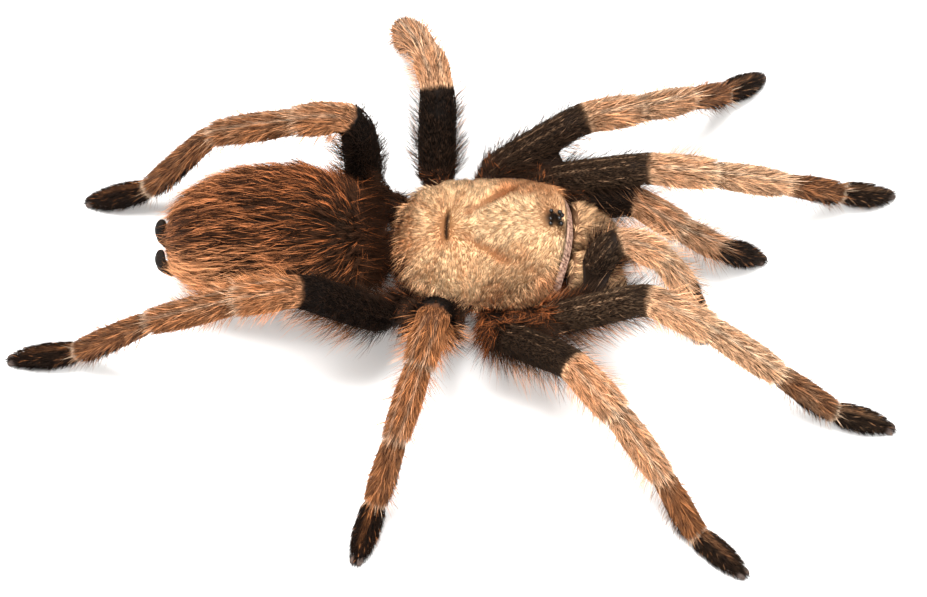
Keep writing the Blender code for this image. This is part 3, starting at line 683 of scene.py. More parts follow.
for limb, line in lines.items():
    share = line["length"] / FULL_LENGTH
    pile = limb_hairs(
        limb, line, int(PILE_COUNT * share), pile_density, pile_length, pile_lean, PILE_SWAY, PILE_WIDTH,
        depth=PILE_DEPTH,
    )
    hair_piece(f"{limb}_coat", gathered(pile, every=4, pull=0.26), fur)
    bristles = limb_hairs(
        limb, line, int(LIMB_BRISTLES * share), bristle_density, bristle_length, bristle_lean,
        BRISTLE_SWAY, BRISTLE_WIDTH, BRISTLE_CURL,
    )
    colour_bristles(limb, bristles)
    hair_piece(f"{limb}_bristles", bristles, fur)

# --- The back shield -------------------------------------------------------------------------
# A hard plate, domed and furrowed: a short cross groove with furrows running out from it, a raised
# head part with the eye mound, and a bare turned-out lip over the jaws. Short silky hair covers it.

shield = remeshed("back_shield", ["carapace"], 0.0, 0.2 * MM, 0.28 * MM, 4)
GROOVE_AHEAD = -4.0  # mm from the shield's middle
LIP_AHEAD = 8.95
LIP_BOW = 0.031  # how far the lip curves back, per mm squared from the midline
EYES_AHEAD, EYES_ASIDE = 7.55, 0.1
HEAD_TURN = math.radians(-6.2)
HEAD_SHIFT = Vector((-0.25, 0.2, 0)) * MM
wave_ways = rng.standard_normal((8, 3)) * (1.6, 1.6, 0.8) / MM
wave_starts = rng.random(8) * 2 * math.pi


def ripples(points, scale=1.0):
    """Soft uneven swells, about -1 to 1, from a few waves in different directions."""
    return np.sin(points @ wave_ways.T * scale + wave_starts).sum(1) / 4


def shield_place(points):
    """Distances in mm ahead of and to the left of the shield's middle, along its own midline."""
    x = (points[:, 0] - MIDDLE.x - HEAD_SHIFT.x) / MM
    y = (points[:, 1] - MIDDLE.y - HEAD_SHIFT.y) / MM
    cos, sin = math.cos(HEAD_TURN), math.sin(HEAD_TURN)
    return x * cos + y * sin, y * cos - x * sin


def from_shield(ways):
    """Directions given along the shield's midline, turned to the world's."""
    cos, sin = math.cos(HEAD_TURN), math.sin(HEAD_TURN)
    x, y, z = ways.T
    return np.stack([x * cos - y * sin, x * sin + y * cos, z], axis=1)


def lip_mask(ahead, aside):
    """1 on the bare lip and 0 behind it."""
    return smooth(ahead + LIP_BOW * aside**2, LIP_AHEAD, LIP_AHEAD + 0.12)


def lip_groove(ahead, aside):
    """The fine groove between the haired shield and its lip."""
    return np.exp(-(((ahead + LIP_BOW * aside**2 - LIP_AHEAD) / 0.16) ** 2))


def furrow_depth(ahead, aside):
    """Depth in mm of the furrows that run out from the middle groove."""
    ahead = ahead - GROOVE_AHEAD
    reach = np.hypot(ahead, aside)
    bearing = np.degrees(np.arctan2(np.abs(aside), ahead))
    depth = 0
    for angle, most, width in ((33, 0.5, 0.7), (70, 0.26, 0.6), (103, 0.24, 0.6), (136, 0.28, 0.7)):
        gap = np.radians(bearing - angle) * reach
        depth = depth + most * np.exp(-((gap / width) ** 2))
    return depth * smooth(reach, 1.0, 3.0) * (1 - smooth(reach, 7.0, 10.5))


def slit(ahead, aside, half_width=0.16):
    """The cross groove: 1 inside it and 0 away from it."""
    bowed = ahead - GROOVE_AHEAD - 0.04 * aside**2
    return np.exp(-((bowed / half_width) ** 2)) * np.exp(-((aside / 1.85) ** 6))


def shield_relief(points):
    """How far the shield is pressed in at a place, in mm."""
    ahead, aside = shield_place(points)
    dimple = 0.35 * np.exp(-(((ahead - GROOVE_AHEAD) ** 2 + (aside * 0.7) ** 2) / 1.6))
    lip = 0.12 * lip_mask(ahead, aside) + 0.3 * lip_groove(ahead, aside)
    swells = 0.07 * ripples(points) + 0.035 * ripples(points, 2.3)
    return 0.8 * slit(ahead, aside) + dimple + furrow_depth(ahead, aside) + lip + swells


shield_points = points_of(shield.data)
on_top = smooth(shield_points[:, 2], shield_low.z + 0.6 * MM, shield_low.z + 2.2 * MM)
shield_points[:, 2] -= shield_relief(shield_points) * on_top * MM
shield.data.vertices.foreach_set("co", shield_points.astype(np.float32).ravel())
shield.data.update()
shield.data.shade_smooth()


def eye_patch(ahead, aside, size=1.0):
    """The small dark patch of the eye mound: 1 in its middle."""
    return np.exp(-((((ahead - EYES_AHEAD) ** 2 + (aside - EYES_ASIDE) ** 2) / size) ** 2))


def shield_marks(points):
    """Golden straw, with rust by the midline at the rear, in the furrows and on the head part's flanks,
    painted shade in the grooves and a painted highlight on the head part's top.
    """
    ahead, aside = shield_place(points)
    patches = smooth(ripples(points, 0.55), 0.15, 0.8)
    speckle = smooth(ripples(points, 2.6), 0.1, 0.7)
    rear = smooth(-ahead, 6.0, 8.4) * np.exp(-((aside / 4.2) ** 2))
    flank = smooth(np.abs(aside) - 0.24 * ahead * (aside < 0), 2.4, 4.2) * smooth(ahead, 0.0, 2.4)
    hollow = np.exp(-(((ahead - GROOVE_AHEAD + 0.4) / 1.0) ** 2) - (aside / 2.6) ** 2)
    by_eyes = np.exp(-((ahead - 6.9) ** 2 / 2.4 + (aside - 1.8) ** 2 / 6.0))
    lip = lip_mask(ahead, aside)
    furrows = smooth(furrow_depth(ahead, aside), 0.08, 0.45)
    flank_hair = flank * (0.35 + 0.65 * (aside > 0))
    rust = 0.5 * rear + 0.22 * patches + 0.4 * furrows + 0.38 * flank_hair + 0.35 * hollow + 0.15 * speckle
    brown = 0.04 + 0.25 * furrows + 0.1 * rear + 0.5 * flank_hair + 0.8 * by_eyes
    brown = brown + 0.25 * hollow + 0.12 * speckle
    # painted shade: the cross groove and the groove behind the lip are painted dark; the eye mound's patch
    # is its own dark colour
    dark = slit(ahead, aside, 0.22) + eye_patch(ahead, aside) + 0.7 * lip_groove(ahead, aside)
    dark = dark + 0.1 * flank
    # painted highlight: the top of the head part is paler where the light falls on it
    crown = smooth(ahead, -3, 0) * (1 - smooth(np.abs(aside), 1.5, 3.5))
    return {
        "dark": np.clip(dark, 0, 1),
        "rust": np.clip(rust, 0, 0.8) * (1 - lip),
        "pale": np.clip(0.4 * crown * (1 - by_eyes) * (1 - patches), 0, 1) * (1 - lip),
        "brown": np.clip(brown, 0, 1),
    }


put_marks(shield.data, shield_marks(shield_points), tone=0.5, tip=0.3)
bare_lip = lip_mask(*shield_place(shield_points))
bare_lip = bare_lip * smooth(shield_points[:, 2], shield_low.z, shield_low.z + MM)
put_attribute(shield.data, "lip", bare_lip)
WRINKLES = (900.0, 5200.0, 2500.0)  # per metre: fine across the lip and long along it


def shell_finish():
    """The plate itself: brown horn under the hair, and a bare, pinkish grey, finely wrinkled lip."""
    made = hair_paint(
        "shell_plate", velvet=(0.006, 0.004, 0.003), straw=(0.3, 0.15, 0.06), brown=(0.15, 0.06, 0.028),
        rust=(0.25, 0.08, 0.025), pale=(0.36, 0.2, 0.1), spread=0.2, roughness=0.5,
    )
    shader = made.node_tree.nodes["Principled BSDF"]
    paint = Field(made.node_tree)
    under = Field(made.node_tree, shader.inputs["Base Color"].links[0].from_socket)
    place = paint.node("ShaderNodeTexCoord", out="Object")
    across = paint.node("ShaderNodeVectorMath", {"operation": "MULTIPLY"}, {0: place, 1: WRINKLES})
    grain = paint.node("ShaderNodeTexNoise", {}, {"Vector": across, "Scale": 1.0, "Detail": 3.0})
    bare = grain.held(0.35, 0.65).mixed((0.1, 0.045, 0.035), (0.66, 0.42, 0.31))
    lip = paint.node("ShaderNodeAttribute", {"attribute_name": "lip"}, out="Fac")
    wire(lip.mixed(under, bare), shader, "Base Color")
    bump = paint.node("ShaderNodeBump", {}, {"Height": grain, "Strength": 0.7, "Distance": 0.00015})
    wire(bump, shader, "Normal")
    return made


shield.data.materials.append(shell_finish())
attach(shield, "root")
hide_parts("carapace")


def surface_spots(mesh, count, wanted):
    """Random places on the wanted triangles of a mesh, even by area: points and outward normals."""
    mesh.calc_loop_triangles()
    corners = np.empty(len(mesh.loop_triangles) * 3, dtype=np.int32)
    mesh.loop_triangles.foreach_get("vertices", corners)
    points = points_of(mesh)
    a, b, c = (points[corners.reshape(-1, 3)[:, k]] for k in range(3))
    cross = np.cross(b - a, c - a)
    area = np.linalg.norm(cross, axis=1) * wanted((a + b + c) / 3, unit(cross))
    chosen = rng.choice(len(area), count, p=area / area.sum())
    u, v = rng.random((2, count, 1))
    flip = u + v > 1
    u, v = np.where(flip, 1 - u, u), np.where(flip, 1 - v, v)
    spot = a[chosen] + (b[chosen] - a[chosen]) * u + (c[chosen] - a[chosen]) * v
    return spot, unit(cross)[chosen]


def hairs_at(spot, out, lie, lean, spread, length, width, marks, layout, curl=None):
    """Hairs at given places, leaning out of the surface as they follow a direction along it."""
    count = len(spot)
    flat = unit(lie - out * (lie * out).sum(1, keepdims=True))
    around = np.cross(out, flat)
    tilt = lean * (1 + 0.25 * rng.standard_normal((count, 1)))
    hairs = {
        "root": spot - out * ROOT_SINK,
        "out": out,
        "lie": unit(flat + out * tilt + around * spread * rng.standard_normal((count, 1))),
        "curl": curl,
        "length": length * (0.7 + 0.6 * rng.random(count)),
        "width": width * (0.75 + 0.5 * rng.random(count)),
        "layout": layout,
        "tone": rng.random(count),
        **marks,
    }
    return hairs


def haired_shield(middles, normals):
    """1 where the shield has hair: not under its rim, on its lip, or on the eye mound."""
    ahead, aside = shield_place(middles)
    haired = (middles[:, 2] > shield_low.z + 0.5 * MM) * (1 - lip_mask(ahead, aside))
    return haired * (1 - 0.92 * eye_patch(ahead, aside)) * (1 - 0.9 * slit(ahead, aside, 0.18))


def shield_flow(points):
    """The lie of the hair: out from the groove, and back and outwards on the head part."""
    ahead, aside = shield_place(points)
    crown = np.exp(-((aside / 1.3) ** 2))
    on_head = np.stack(
        [-0.45 - 0.6 * crown, np.tanh(aside) * (1 - crown), -0.2 * np.abs(aside) / 6], axis=1
    )
    from_groove = unit(np.stack([ahead - GROOVE_AHEAD, aside, 0 * aside - 0.3], axis=1))
    share = smooth(ahead, -3.5, 1.5)[:, None]
    turned = ripples(points, 0.8)[:, None] * np.stack([-aside, ahead - GROOVE_AHEAD, 0 * ahead], axis=1)
    swirl = 0.35 * ripples(points, 0.45)[:, None] * np.array((0.3, 1.0, 0.0))
    return from_shield(on_head * share + from_groove * (1 - share) + 0.05 * turned + swirl)


def shield_layout(ahead, aside):
    """The shield's bake layout: its plan, spread over the whole square."""
    return np.stack([(ahead + 10) / 20, (aside + 9) / 18], axis=1)


SILK_COUNT, SILK_LENGTH, SILK_WIDTH = 36000, 0.8 * MM, 0.072 * MM
spot, out = surface_spots(shield.data, SILK_COUNT, haired_shield)
ahead, aside = shield_place(spot)
kept_share = 1 - 0.55 * slit(ahead, aside, 0.6) - 0.55 * eye_patch(ahead, aside, 1.8)
silk = hairs_at(
    spot, out, shield_flow(spot), lean=0.3, spread=0.2, length=SILK_LENGTH * kept_share, width=SILK_WIDTH,
    marks=shield_marks(spot), layout=shield_layout(ahead, aside),
)
shield_hair = hair_paint(
    "shield_hair", velvet=(0.01, 0.006, 0.004), straw=(0.93, 0.61, 0.345), brown=(0.4, 0.19, 0.08),
    rust=(0.68, 0.25, 0.09), pale=(0.95, 0.7, 0.43), spread=1.65,
)
hair_piece("back_shield_coat", gathered(silk, every=5, pull=0.32), shield_hair)


HALF_LENGTH, HALF_WIDTH = 9.3, 8.3  # of the shield's outline, in mm


def shield_margin(middles, normals):
    """1 round the shield's edge, but for the front."""
    ahead, aside = shield_place(middles)
    edge = smooth(np.hypot(ahead / HALF_LENGTH, aside / HALF_WIDTH), 0.9, 0.98) * (ahead < 7.5)
    return edge * (middles[:, 2] > shield_low.z + 0.3 * MM)


FRINGE_COUNT, FRINGE_LENGTH, FRINGE_WIDTH = 4400, 1.9 * MM, 0.062 * MM
spot, out = surface_spots(shield.data, FRINGE_COUNT, shield_margin)
ahead, aside = shield_place(spot)
fringe_way = from_shield(np.stack([ahead / HALF_LENGTH, aside / HALF_WIDTH, -0.35 + 0 * aside], axis=1))
fringe_marks = shield_marks(spot)
behind = smooth(-ahead, 5.0, 8.0)
fringe_marks["rust"] = np.clip(fringe_marks["rust"] + 0.3 * rng.random(FRINGE_COUNT), 0, 1)
black = rng.random(FRINGE_COUNT) < 0.55
fringe_marks["dark"] = np.clip(fringe_marks["dark"] + behind * black, 0, 1)
fringe = hairs_at(
    spot, out, fringe_way, lean=0.25, spread=0.35, length=FRINGE_LENGTH + 0.7 * MM * behind,
    width=FRINGE_WIDTH, marks=fringe_marks, layout=shield_layout(ahead, aside),
    curl=np.tile((0, 0, -0.4), (FRINGE_COUNT, 1)),
)
hair_piece("back_shield_fringe", fringe, shield_hair)

# --- The eyes --------------------------------------------------------------------------------
# Eight glassy dark beads on the mound, two in front, two beside them and four smaller ones behind:
# one round bead at each eye's solid, sized from it.

BEAD_SHARE = 0.33  # a bead's radius, for the diagonal of the solid that it stands for
lens, lens_shader, paint = new_finish("lens", 0.1, Specular_IOR_Level=0.35)
grain = paint.node("ShaderNodeTexCoord", out="Object")
speck = paint.node("ShaderNodeTexNoise", {}, {"Vector": grain, "Scale": 900.0})
wire(speck.held(0.35, 0.7).mixed((0.003, 0.0025, 0.0025), (0.014, 0.01, 0.008)), lens_shader, "Base Color")
for node in [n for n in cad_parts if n.startswith("eye_")]:
    low, high = (Vector(corner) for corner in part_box(node))
    bead = bmesh.new()
    bmesh.ops.create_uvsphere(bead, u_segments=24, v_segments=16, radius=(high - low).length * BEAD_SHARE)
    bmesh.ops.translate(bead, verts=bead.verts, vec=(low + high) / 2)
    eye = in_scene(f"{node}_lens", mesh_of(f"{node}_lens", bead))
    eye.data.shade_smooth()
    eye.data.materials.append(lens)
    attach(eye, "root")
    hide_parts(node)

# --- The jaws and fangs ----------------------------------------------------------------------
# Each jaw is a stout hairy block that bulges forward and down. Its fang is a glossy black hook,
# folded back under it.

JAW_COUNT, JAW_LENGTH, JAW_WIDTH = 12000, 1.15 * MM, 0.09 * MM
jaw_hair = hair_paint(
    "jaw_hair", velvet=(0.012, 0.007, 0.005), straw=(0.95, 0.58, 0.31), brown=(0.33, 0.17, 0.08),
    rust=(0.6, 0.24, 0.09), pale=(0.97, 0.72, 0.46), spread=1.5,
)
for side in ("left", "right"):
    node = f"chelicera_{side}"
    jaw = remeshed(f"jaw_{side}", [node], 0.0, 0.2 * MM, 0.25 * MM, 4)
    low, high = (Vector(corner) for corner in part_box(node))

    def jaw_marks(points):
        """Straw on top, darker towards the fang, and with painted shadow on the right jaw's outer side."""
        ahead = (points[:, 0] - low.x) / (high.x - low.x)
        down = (high.z - points[:, 2]) / (high.z - low.z)
        painted_shadow_side = smooth((high.y - points[:, 1]) / (high.y - low.y), 0.55, 0.9) * (side == "right")
        return {
            "dark": np.clip(0.1 + 0.6 * smooth(down, 0.3, 0.8) + 0.6 * painted_shadow_side, 0, 1),
            "rust": 0.25 * smooth(down, 0.3, 0.8) + 0.15 * smooth(ripples(points), 0.2, 0.8),
            "pale": 0.3 * smooth(ahead, 0.2, 0.8) * (1 - smooth(down, 0.4, 0.7)),
            "brown": np.full(len(points), 0.3),
        }

    put_marks(jaw.data, jaw_marks(points_of(jaw.data)), tone=0.3, tip=0.2)
    jaw.data.shade_smooth()
    jaw.data.materials.append(hide)
    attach(jaw, "root")
    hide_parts(node)
    spot, out = surface_spots(jaw.data, JAW_COUNT, lambda middles, normals: normals[:, 0] > -0.9)
    outwards = np.full(JAW_COUNT, 0.3 if side == "left" else -0.3)
    downwards = (low.z - spot[:, 2]) / MM * 0.08
    lie = unit(np.stack([np.full(JAW_COUNT, 0.9), outwards, downwards], axis=1))
    round_it = np.arctan2(out[:, 1], out[:, 2]) / 6.3 + 0.5
    layout = np.stack([(spot[:, 0] - low.x) / (high.x - low.x), round_it], axis=1)
    fringe = hairs_at(
        spot, out, lie, lean=0.38, spread=0.3, length=JAW_LENGTH, width=JAW_WIDTH, marks=jaw_marks(spot),
        layout=layout,
    )
    hair_piece(f"jaw_{side}_coat", gathered(fringe, every=8, pull=0.6), jaw_hair)



def grainy(name, roughness, specular, scale, low, high, dark, light, bump):
    """A plain finish whose colour and surface vary with a fine grain."""
    made, shader, paint = new_finish(name, roughness, Specular_IOR_Level=specular)
    place = paint.node("ShaderNodeTexCoord", out="Object")
    grain = paint.node("ShaderNodeTexNoise", {}, {"Vector": place, "Scale": scale, "Detail": 3.0})
    wire(grain.held(low, high).mixed(dark, light), shader, "Base Color")
    raised = {"Height": grain, "Strength": bump, "Distance": 0.0001}
    wire(paint.node("ShaderNodeBump", {}, raised), shader, "Normal")
    return made


horn = grainy(
    "black_horn", 0.34, 0.4, scale=1500.0, low=0.4, high=0.7, dark=(0.004, 0.003, 0.003),
    light=(0.022, 0.012, 0.008), bump=0.2,
)
FANG_VOXEL, FANG_SINK = 0.1 * MM, 0.02 * MM
for side in ("left", "right"):
    node = f"fang_{side}"
    fang = remeshed(f"{node}_horn", [node], 0.0, FANG_VOXEL, FANG_SINK, 4)
    fang.data.shade_smooth()
    fang.data.materials.append(horn)
    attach(fang, "root")
    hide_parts(node)

# --- The spinnerets --------------------------------------------------------------------------
# Two short blunt fingers of soft black skin, curled up behind the abdomen.

FINGER_SWELL = 0.32 * MM  # the soft skin closes the solids' gap to the abdomen
matt_black = grainy(
    "spinneret_skin", 0.8, 0.1, scale=3000.0, low=0.3, high=0.7, dark=(0.004, 0.003, 0.0025),
    light=(0.014, 0.009, 0.006), bump=0.5,
)
for side in ("left", "right"):
    node = f"spinneret_{side}"
    finger = remeshed(f"{node}_skin", [node], 0.0, FANG_VOXEL, -FINGER_SWELL, 4)
    finger.data.shade_smooth()
    finger.data.materials.append(matt_black)
    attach(finger, "root")
    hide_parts(node)

# --- The abdomen's coat ----------------------------------------------------------------------
# Black velvet next to the skin, and over it long red-brown bristles that sweep back from the stalk
# in wavy pointed locks, lighter towards the rear and the sides.

abdomen_low, abdomen_high = (np.array(corner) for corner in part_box("abdomen"))
abdomen_middle = (abdomen_low + abdomen_high) / 2
abdomen_front = MIDDLE.x - 9.7 * MM
LIMB_CLEARANCE = 2.0 * MM
SPINNERET_SHOWING = 0.7 * MM  # how much of a spinneret stays clear of hair, from its rear


def clear_of_limbs(points, distance):
    """True for the points that are further than this from every limb's centre line."""
    clear = np.ones(len(points), dtype=bool)
    for line in lines.values():
        for station in line["centre"][::3]:
            clear &= np.linalg.norm(points - station, axis=1) > distance
    return clear


def on_abdomen(middles, normals):
    """1 on the abdomen behind its stalk, but not on a limb."""
    inside = (middles[:, 0] < abdomen_front) & (middles[:, 0] > abdomen_low[0])
    inside &= np.abs(middles[:, 1] - abdomen_middle[1]) < (abdomen_high - abdomen_low)[1] / 2 + 0.2 * MM
    return (inside & clear_of_limbs(middles, LIMB_CLEARANCE)).astype(float)


def clear_of_spinnerets(hairs):
    """Shortens the hairs that would cover a spinneret, so that they end against its near side."""
    root, length = hairs["root"], hairs["length"]
    tips = root + unit(hairs["lie"]) * length[:, None]
    kept = np.ones(len(tips), dtype=bool)
    for side in ("left", "right"):
        low, high = (np.array(corner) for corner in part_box(f"spinneret_{side}"))
        stop = low[0] + SPINNERET_SHOWING
        beside = (tips[:, 1] > low[1] - 0.8 * MM) & (tips[:, 1] < high[1] + 0.4 * MM)
        passing = beside & (tips[:, 0] < stop) & (tips[:, 2] > low[2] - 0.5 * MM)
        share = (root[:, 0] - stop) / np.maximum(root[:, 0] - tips[:, 0], 1e-9)
        kept &= ~(passing & (share < 0.2))
        length = np.where(passing, length * np.clip(share, 0.2, 1.0), length)
    hairs["length"] = length
    return {key: value if value is None else value[kept] for key, value in hairs.items()}


def abdomen_reach(points):
    """0 at the abdomen's front and 1 at its rear."""
    return (abdomen_front - points[:, 0]) / (abdomen_front - abdomen_low[0])


def abdomen_layout(points):
    """The abdomen's bake layout: along it and round it."""
    bearing = np.arctan2(points[:, 2] - abdomen_middle[2], points[:, 1] - abdomen_middle[1])
    return np.stack([abdomen_reach(points), bearing / (2 * math.pi) + 0.5], axis=1)


def abdomen_flow(points, out):
    """Backwards over the sides, and outwards all round the stalk at the front."""
    radial = points - abdomen_middle
    radial[:, 0] = 0
    flow = np.array((-1.0, 0.05, -0.03)) + 1.4 * unit(radial) * smooth(out[:, 0], 0.4, 0.95)[:, None]
    around = np.cross(out, flow)
    return flow + around * 0.22 * ripples(points, 0.35)[:, None]


def abdomen_marks(points, out, chance):
    """Black hairs with red ones among them: more and paler ones to the rear and on the flanks."""
    reach = abdomen_reach(points)
    lit = smooth(reach, 0.12, 1.0)
    flank = smooth(np.abs(out[:, 1]) - 0.8 * out[:, 2], -0.4, 0.7)
    red = chance < 0.08 + 0.22 * smooth(reach, 0.08, 0.3) + 0.4 * flank * lit
    return {
        "dark": np.where(red, 0.25 * (1 - lit), 0.93),
        "rust": np.where(red, 0.85 - 0.3 * flank, 0.4),
        "pale": np.where(red, 0.25 * lit + 0.45 * flank * lit, 0.0),
        "brown": np.full(len(points), 0.6),
    }


belly_hair = hair_paint(
    "abdomen_hair", velvet=(0.009, 0.005, 0.0035), straw=(0.5, 0.25, 0.12), brown=(0.25, 0.1, 0.04),
    rust=(0.52, 0.15, 0.045), pale=(0.85, 0.42, 0.2), spread=1.4,
)
VELVET_COUNT, VELVET_LENGTH, VELVET_WIDTH = 12000, 1.1 * MM, 0.12 * MM
spot, out = surface_spots(skin.data, VELVET_COUNT, on_abdomen)
velvet_marks = {m: np.zeros(VELVET_COUNT) for m in MARKS}
velvet_marks["dark"] += 0.97
velvet = hairs_at(
    spot, out, abdomen_flow(spot, out), lean=0.35, spread=0.3, length=VELVET_LENGTH, width=VELVET_WIDTH,
    marks=velvet_marks, layout=abdomen_layout(spot),
)
hair_piece("abdomen_velvet", clear_of_spinnerets(velvet), belly_hair)

BRISTLE_COUNT, LOCK_COUNT, NEAREST_CHUNK = 18500, 2400, 3000
LOCK_LENGTH, LOCK_SCATTER, LOCK_WIDTH = 3.9, 0.16 * MM, 0.06 * MM
spot, out = surface_spots(skin.data, BRISTLE_COUNT, on_abdomen)
picked = rng.choice(BRISTLE_COUNT, LOCK_COUNT, replace=False)
lock_root, lock_out = spot[picked], out[picked]
lock_flow = abdomen_flow(lock_root, lock_out)
lock_flow = unit(lock_flow - lock_out * (lock_flow * lock_out).sum(1, keepdims=True))
lock_flow = unit(lock_flow + 0.1 * rng.standard_normal((LOCK_COUNT, 3)))
lock_length = (LOCK_LENGTH - 1.2 * smooth(lock_out[:, 0], 0.2, 0.8)) * (0.8 + 0.4 * rng.random(LOCK_COUNT))
lock_length = lock_length * (1 - 0.6 * smooth(abdomen_reach(lock_root), 0.86, 0.97))
lock_lift = (0.45 + 0.5 * rng.random(LOCK_COUNT)) * MM
lock_tip = lock_root + lock_flow * lock_length[:, None] * MM + lock_out * lock_lift[:, None]
own_lock = np.concatenate(
    [
        np.linalg.norm(spot[i : i + NEAREST_CHUNK, None] - lock_root[None], axis=2).argmin(1)
        for i in range(0, BRISTLE_COUNT, NEAREST_CHUNK)
    ]
)
aim = lock_tip[own_lock] + LOCK_SCATTER * rng.standard_normal((BRISTLE_COUNT, 3)) - spot
chance = 0.5 * rng.random(BRISTLE_COUNT) + 0.5 * rng.random(LOCK_COUNT)[own_lock]
bristles = {
    "root": spot - out * ROOT_SINK,
    "out": out,
    "lie": aim + out * 0.5 * MM,
    "curl": -out * 0.45,
    "length": np.linalg.norm(aim, axis=1) * (0.75 + 0.35 * rng.random(BRISTLE_COUNT)),
    "width": LOCK_WIDTH * (0.7 + 0.6 * rng.random(BRISTLE_COUNT)),
    "layout": abdomen_layout(spot),
    "tone": rng.random(BRISTLE_COUNT),
    **abdomen_marks(spot, out, chance),
}
hair_piece("abdomen_bristles", clear_of_spinnerets(bristles), belly_hair)

LOOSE_COUNT, LOOSE_LENGTH, LOOSE_WIDTH = 4000, 3.3 * MM, 0.05 * MM
spot, out = surface_spots(skin.data, LOOSE_COUNT, on_abdomen)
loose_marks = abdomen_marks(spot, out, 0.5 * rng.random(LOOSE_COUNT))
loose_curl = -out * 0.3 + 0.1 * rng.standard_normal((LOOSE_COUNT, 3))
loose = hairs_at(
    spot, out, abdomen_flow(spot, out), lean=0.55, spread=0.2, length=LOOSE_LENGTH, width=LOOSE_WIDTH,
    marks=loose_marks, layout=abdomen_layout(spot), curl=loose_curl,
)
hair_piece("abdomen_loose_bristles", clear_of_spinnerets(loose), belly_hair)


WAIST_HALF, WAIST_LOW = 6.5 * MM, 3 * MM


def on_waist(middles, normals):
    """1 on the abdomen's front, where it meets the stalk."""
    reach = abdomen_reach(middles)
    inside = (reach > -0.08) & (reach < 0.2) & (normals[:, 0] > 0.1) & (middles[:, 2] > WAIST_LOW)
    return (inside & (np.abs(middles[:, 1] - abdomen_middle[1]) < WAIST_HALF)).astype(float)


WAIST_COUNT, WAIST_LENGTH, WAIST_WIDTH = 4000, 2.9 * MM, 0.08 * MM
spot, out = surface_spots(skin.data, WAIST_COUNT, on_waist)
chance = rng.random(WAIST_COUNT)
waist_marks = abdomen_marks(spot, out, 0.1 + chance)
waist_way = abdomen_flow(spot, out) * 0.4 + np.array((1.9, 0.0, 0.1))
waist = hairs_at(
    spot, out, waist_way, lean=0.9, spread=0.4, length=WAIST_LENGTH, width=WAIST_WIDTH, marks=waist_marks,
    layout=abdomen_layout(spot),
)
hair_piece("waist_coat", waist, belly_hair)

# --- The underside's coat --------------------------------------------------------------------
# Dark brown hair on the breast and hips, with rust-coloured fringes standing out between the legs.


HIPS_REACH, HIPS_HALF_LENGTH, HIPS_TOP = 11.5 * MM, 13 * MM, 10.5 * MM
HIDDEN_REACH = 7.0 * MM  # the part of the breast's top that the shield covers
HIPS_COUNT, HIPS_WIDTH = 22000, 0.085 * MM


def on_hips(middles, normals):
    """1 on the hips and breast, but not under the shield."""
    ahead = middles[:, 0] - MIDDLE.x
    aside = np.hypot(ahead / 1.1, middles[:, 1] - MIDDLE.y)
    under = (aside < HIPS_REACH) & (np.abs(ahead) < HIPS_HALF_LENGTH) & (middles[:, 2] < HIPS_TOP)
    hidden = (aside < HIDDEN_REACH) & (normals[:, 2] > 0.5)
    return (under & ~hidden).astype(float)


spot, out = surface_spots(skin.data, HIPS_COUNT, on_hips)
away = spot - np.array(MIDDLE + Vector((0, 0, 6 * MM)))
away[:, 2] *= 0.3
near_front = (spot[:, 1] < MIDDLE.y - 4 * MM) & (spot[:, 0] > MIDDLE.x - 5 * MM)
red = rng.random(HIPS_COUNT) < np.where(near_front, 0.32, 0.08)
hip_marks = {
    "dark": np.where(red, 0.25, 0.94),
    "rust": np.where(red, 0.85, 0.3),
    "pale": np.zeros(HIPS_COUNT),
    "brown": np.full(HIPS_COUNT, 0.7),
}
plan = (spot[:, :2] - np.array(MIDDLE.xy)) / (30 * MM) + 0.5
reach = smooth(np.hypot(away[:, 0], away[:, 1]), 5 * MM, 9.5 * MM)
to_rear = smooth(MIDDLE.x - spot[:, :1], 5 * MM, 7.5 * MM)
to_left = smooth(spot[:, 1:2] - MIDDLE.y, 2 * MM, 5 * MM)
rising = 0.5 + 0.5 * to_rear * (1 - to_left)
between = near_front & (spot[:, 0] > MIDDLE.x - 1 * MM) & (spot[:, 0] < MIDDLE.x + 6 * MM)
hip_length = (1.0 + 2.0 * reach * (1 - 0.8 * to_left[:, 0]) + 1.1 * between) * MM
hips = hairs_at(
    spot, out, unit(away), lean=rising, spread=0.75, length=hip_length, width=HIPS_WIDTH, marks=hip_marks,
    layout=plan,
)
hair_piece("hips_coat", gathered(hips, every=4, pull=0.4), belly_hair)

# --- The claw tufts --------------------------------------------------------------------------
# Two small pads of dense grey-brown hair end each foot, with a pair of fine dark claws between them.

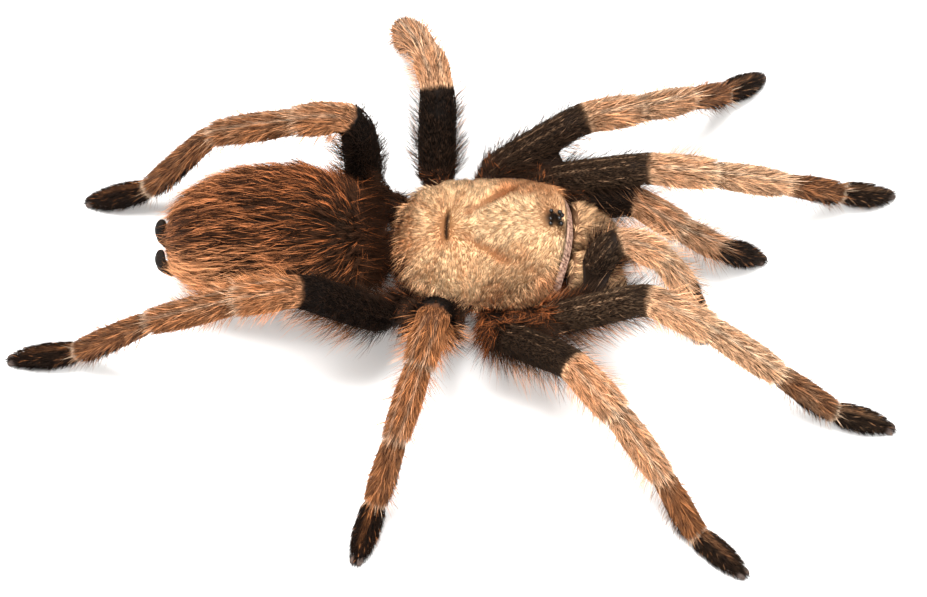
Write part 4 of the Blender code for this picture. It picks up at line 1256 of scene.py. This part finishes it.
TUFT_HALVES = (0.6 * MM, 0.36 * MM, 0.4 * MM)  # along the foot, across it and up
TUFT_ASIDE, TUFT_BACK = 0.38 * MM, 0.1 * MM
CLAW_LENGTH, CLAW_BASE, CLAW_POINT = 0.9 * MM, 0.09 * MM, 0.015 * MM
CLAW_PLACE = (0.5 * MM, 0.14 * MM, 0.22 * MM)  # its middle, from the foot's tip
TUFT_CLEARANCE, CLAW_CLEARANCE = 0.02 * MM, 0.05 * MM  # to the floor
tufts, claws = bmesh.new(), bmesh.new()
for line in lines.values():
    tip, ahead = Vector(line["centre"][-1]), Vector(line["along"][-1])
    beside, over = Vector(line["across"][-1]), Vector(line["up"][-1])
    turned = Matrix((ahead, beside, over)).transposed().to_4x4()
    for sign in (-1, 1):
        shift = Matrix.Translation(tip - ahead * TUFT_BACK + beside * sign * TUFT_ASIDE)
        size = Matrix.Diagonal((*TUFT_HALVES, 1.0))
        bmesh.ops.create_icosphere(tufts, subdivisions=3, radius=1.0, matrix=shift @ turned @ size)
        hook = bmesh.ops.create_cone(
            claws, cap_ends=True, segments=8, radius1=CLAW_BASE, radius2=CLAW_POINT, depth=CLAW_LENGTH
        )
        upright = Matrix.Rotation(math.radians(90), 4, "Y")
        forth, aside, up = CLAW_PLACE
        shift = Matrix.Translation(tip + ahead * forth + beside * sign * aside + over * up)
        bmesh.ops.transform(claws, matrix=shift @ turned @ upright, verts=hook["verts"])
tuft_hair = grainy(
    "claw_tuft", 0.7, 0.2, scale=9000.0, low=0.3, high=0.7, dark=(0.02, 0.013, 0.01),
    light=(0.12, 0.085, 0.07), bump=0.8,
)
for name, tool, clearance, finish, slot in (
    ("claw_tufts", tufts, TUFT_CLEARANCE, tuft_hair, "foot"),
    ("claws", claws, CLAW_CLEARANCE, horn, "horn"),
):
    for vert in tool.verts:
        vert.co.z = max(vert.co.z, clearance)
    made = in_scene(name, mesh_of(name, tool))
    made.data.shade_smooth()
    made.data.materials.append(finish)
    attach(made, "root")
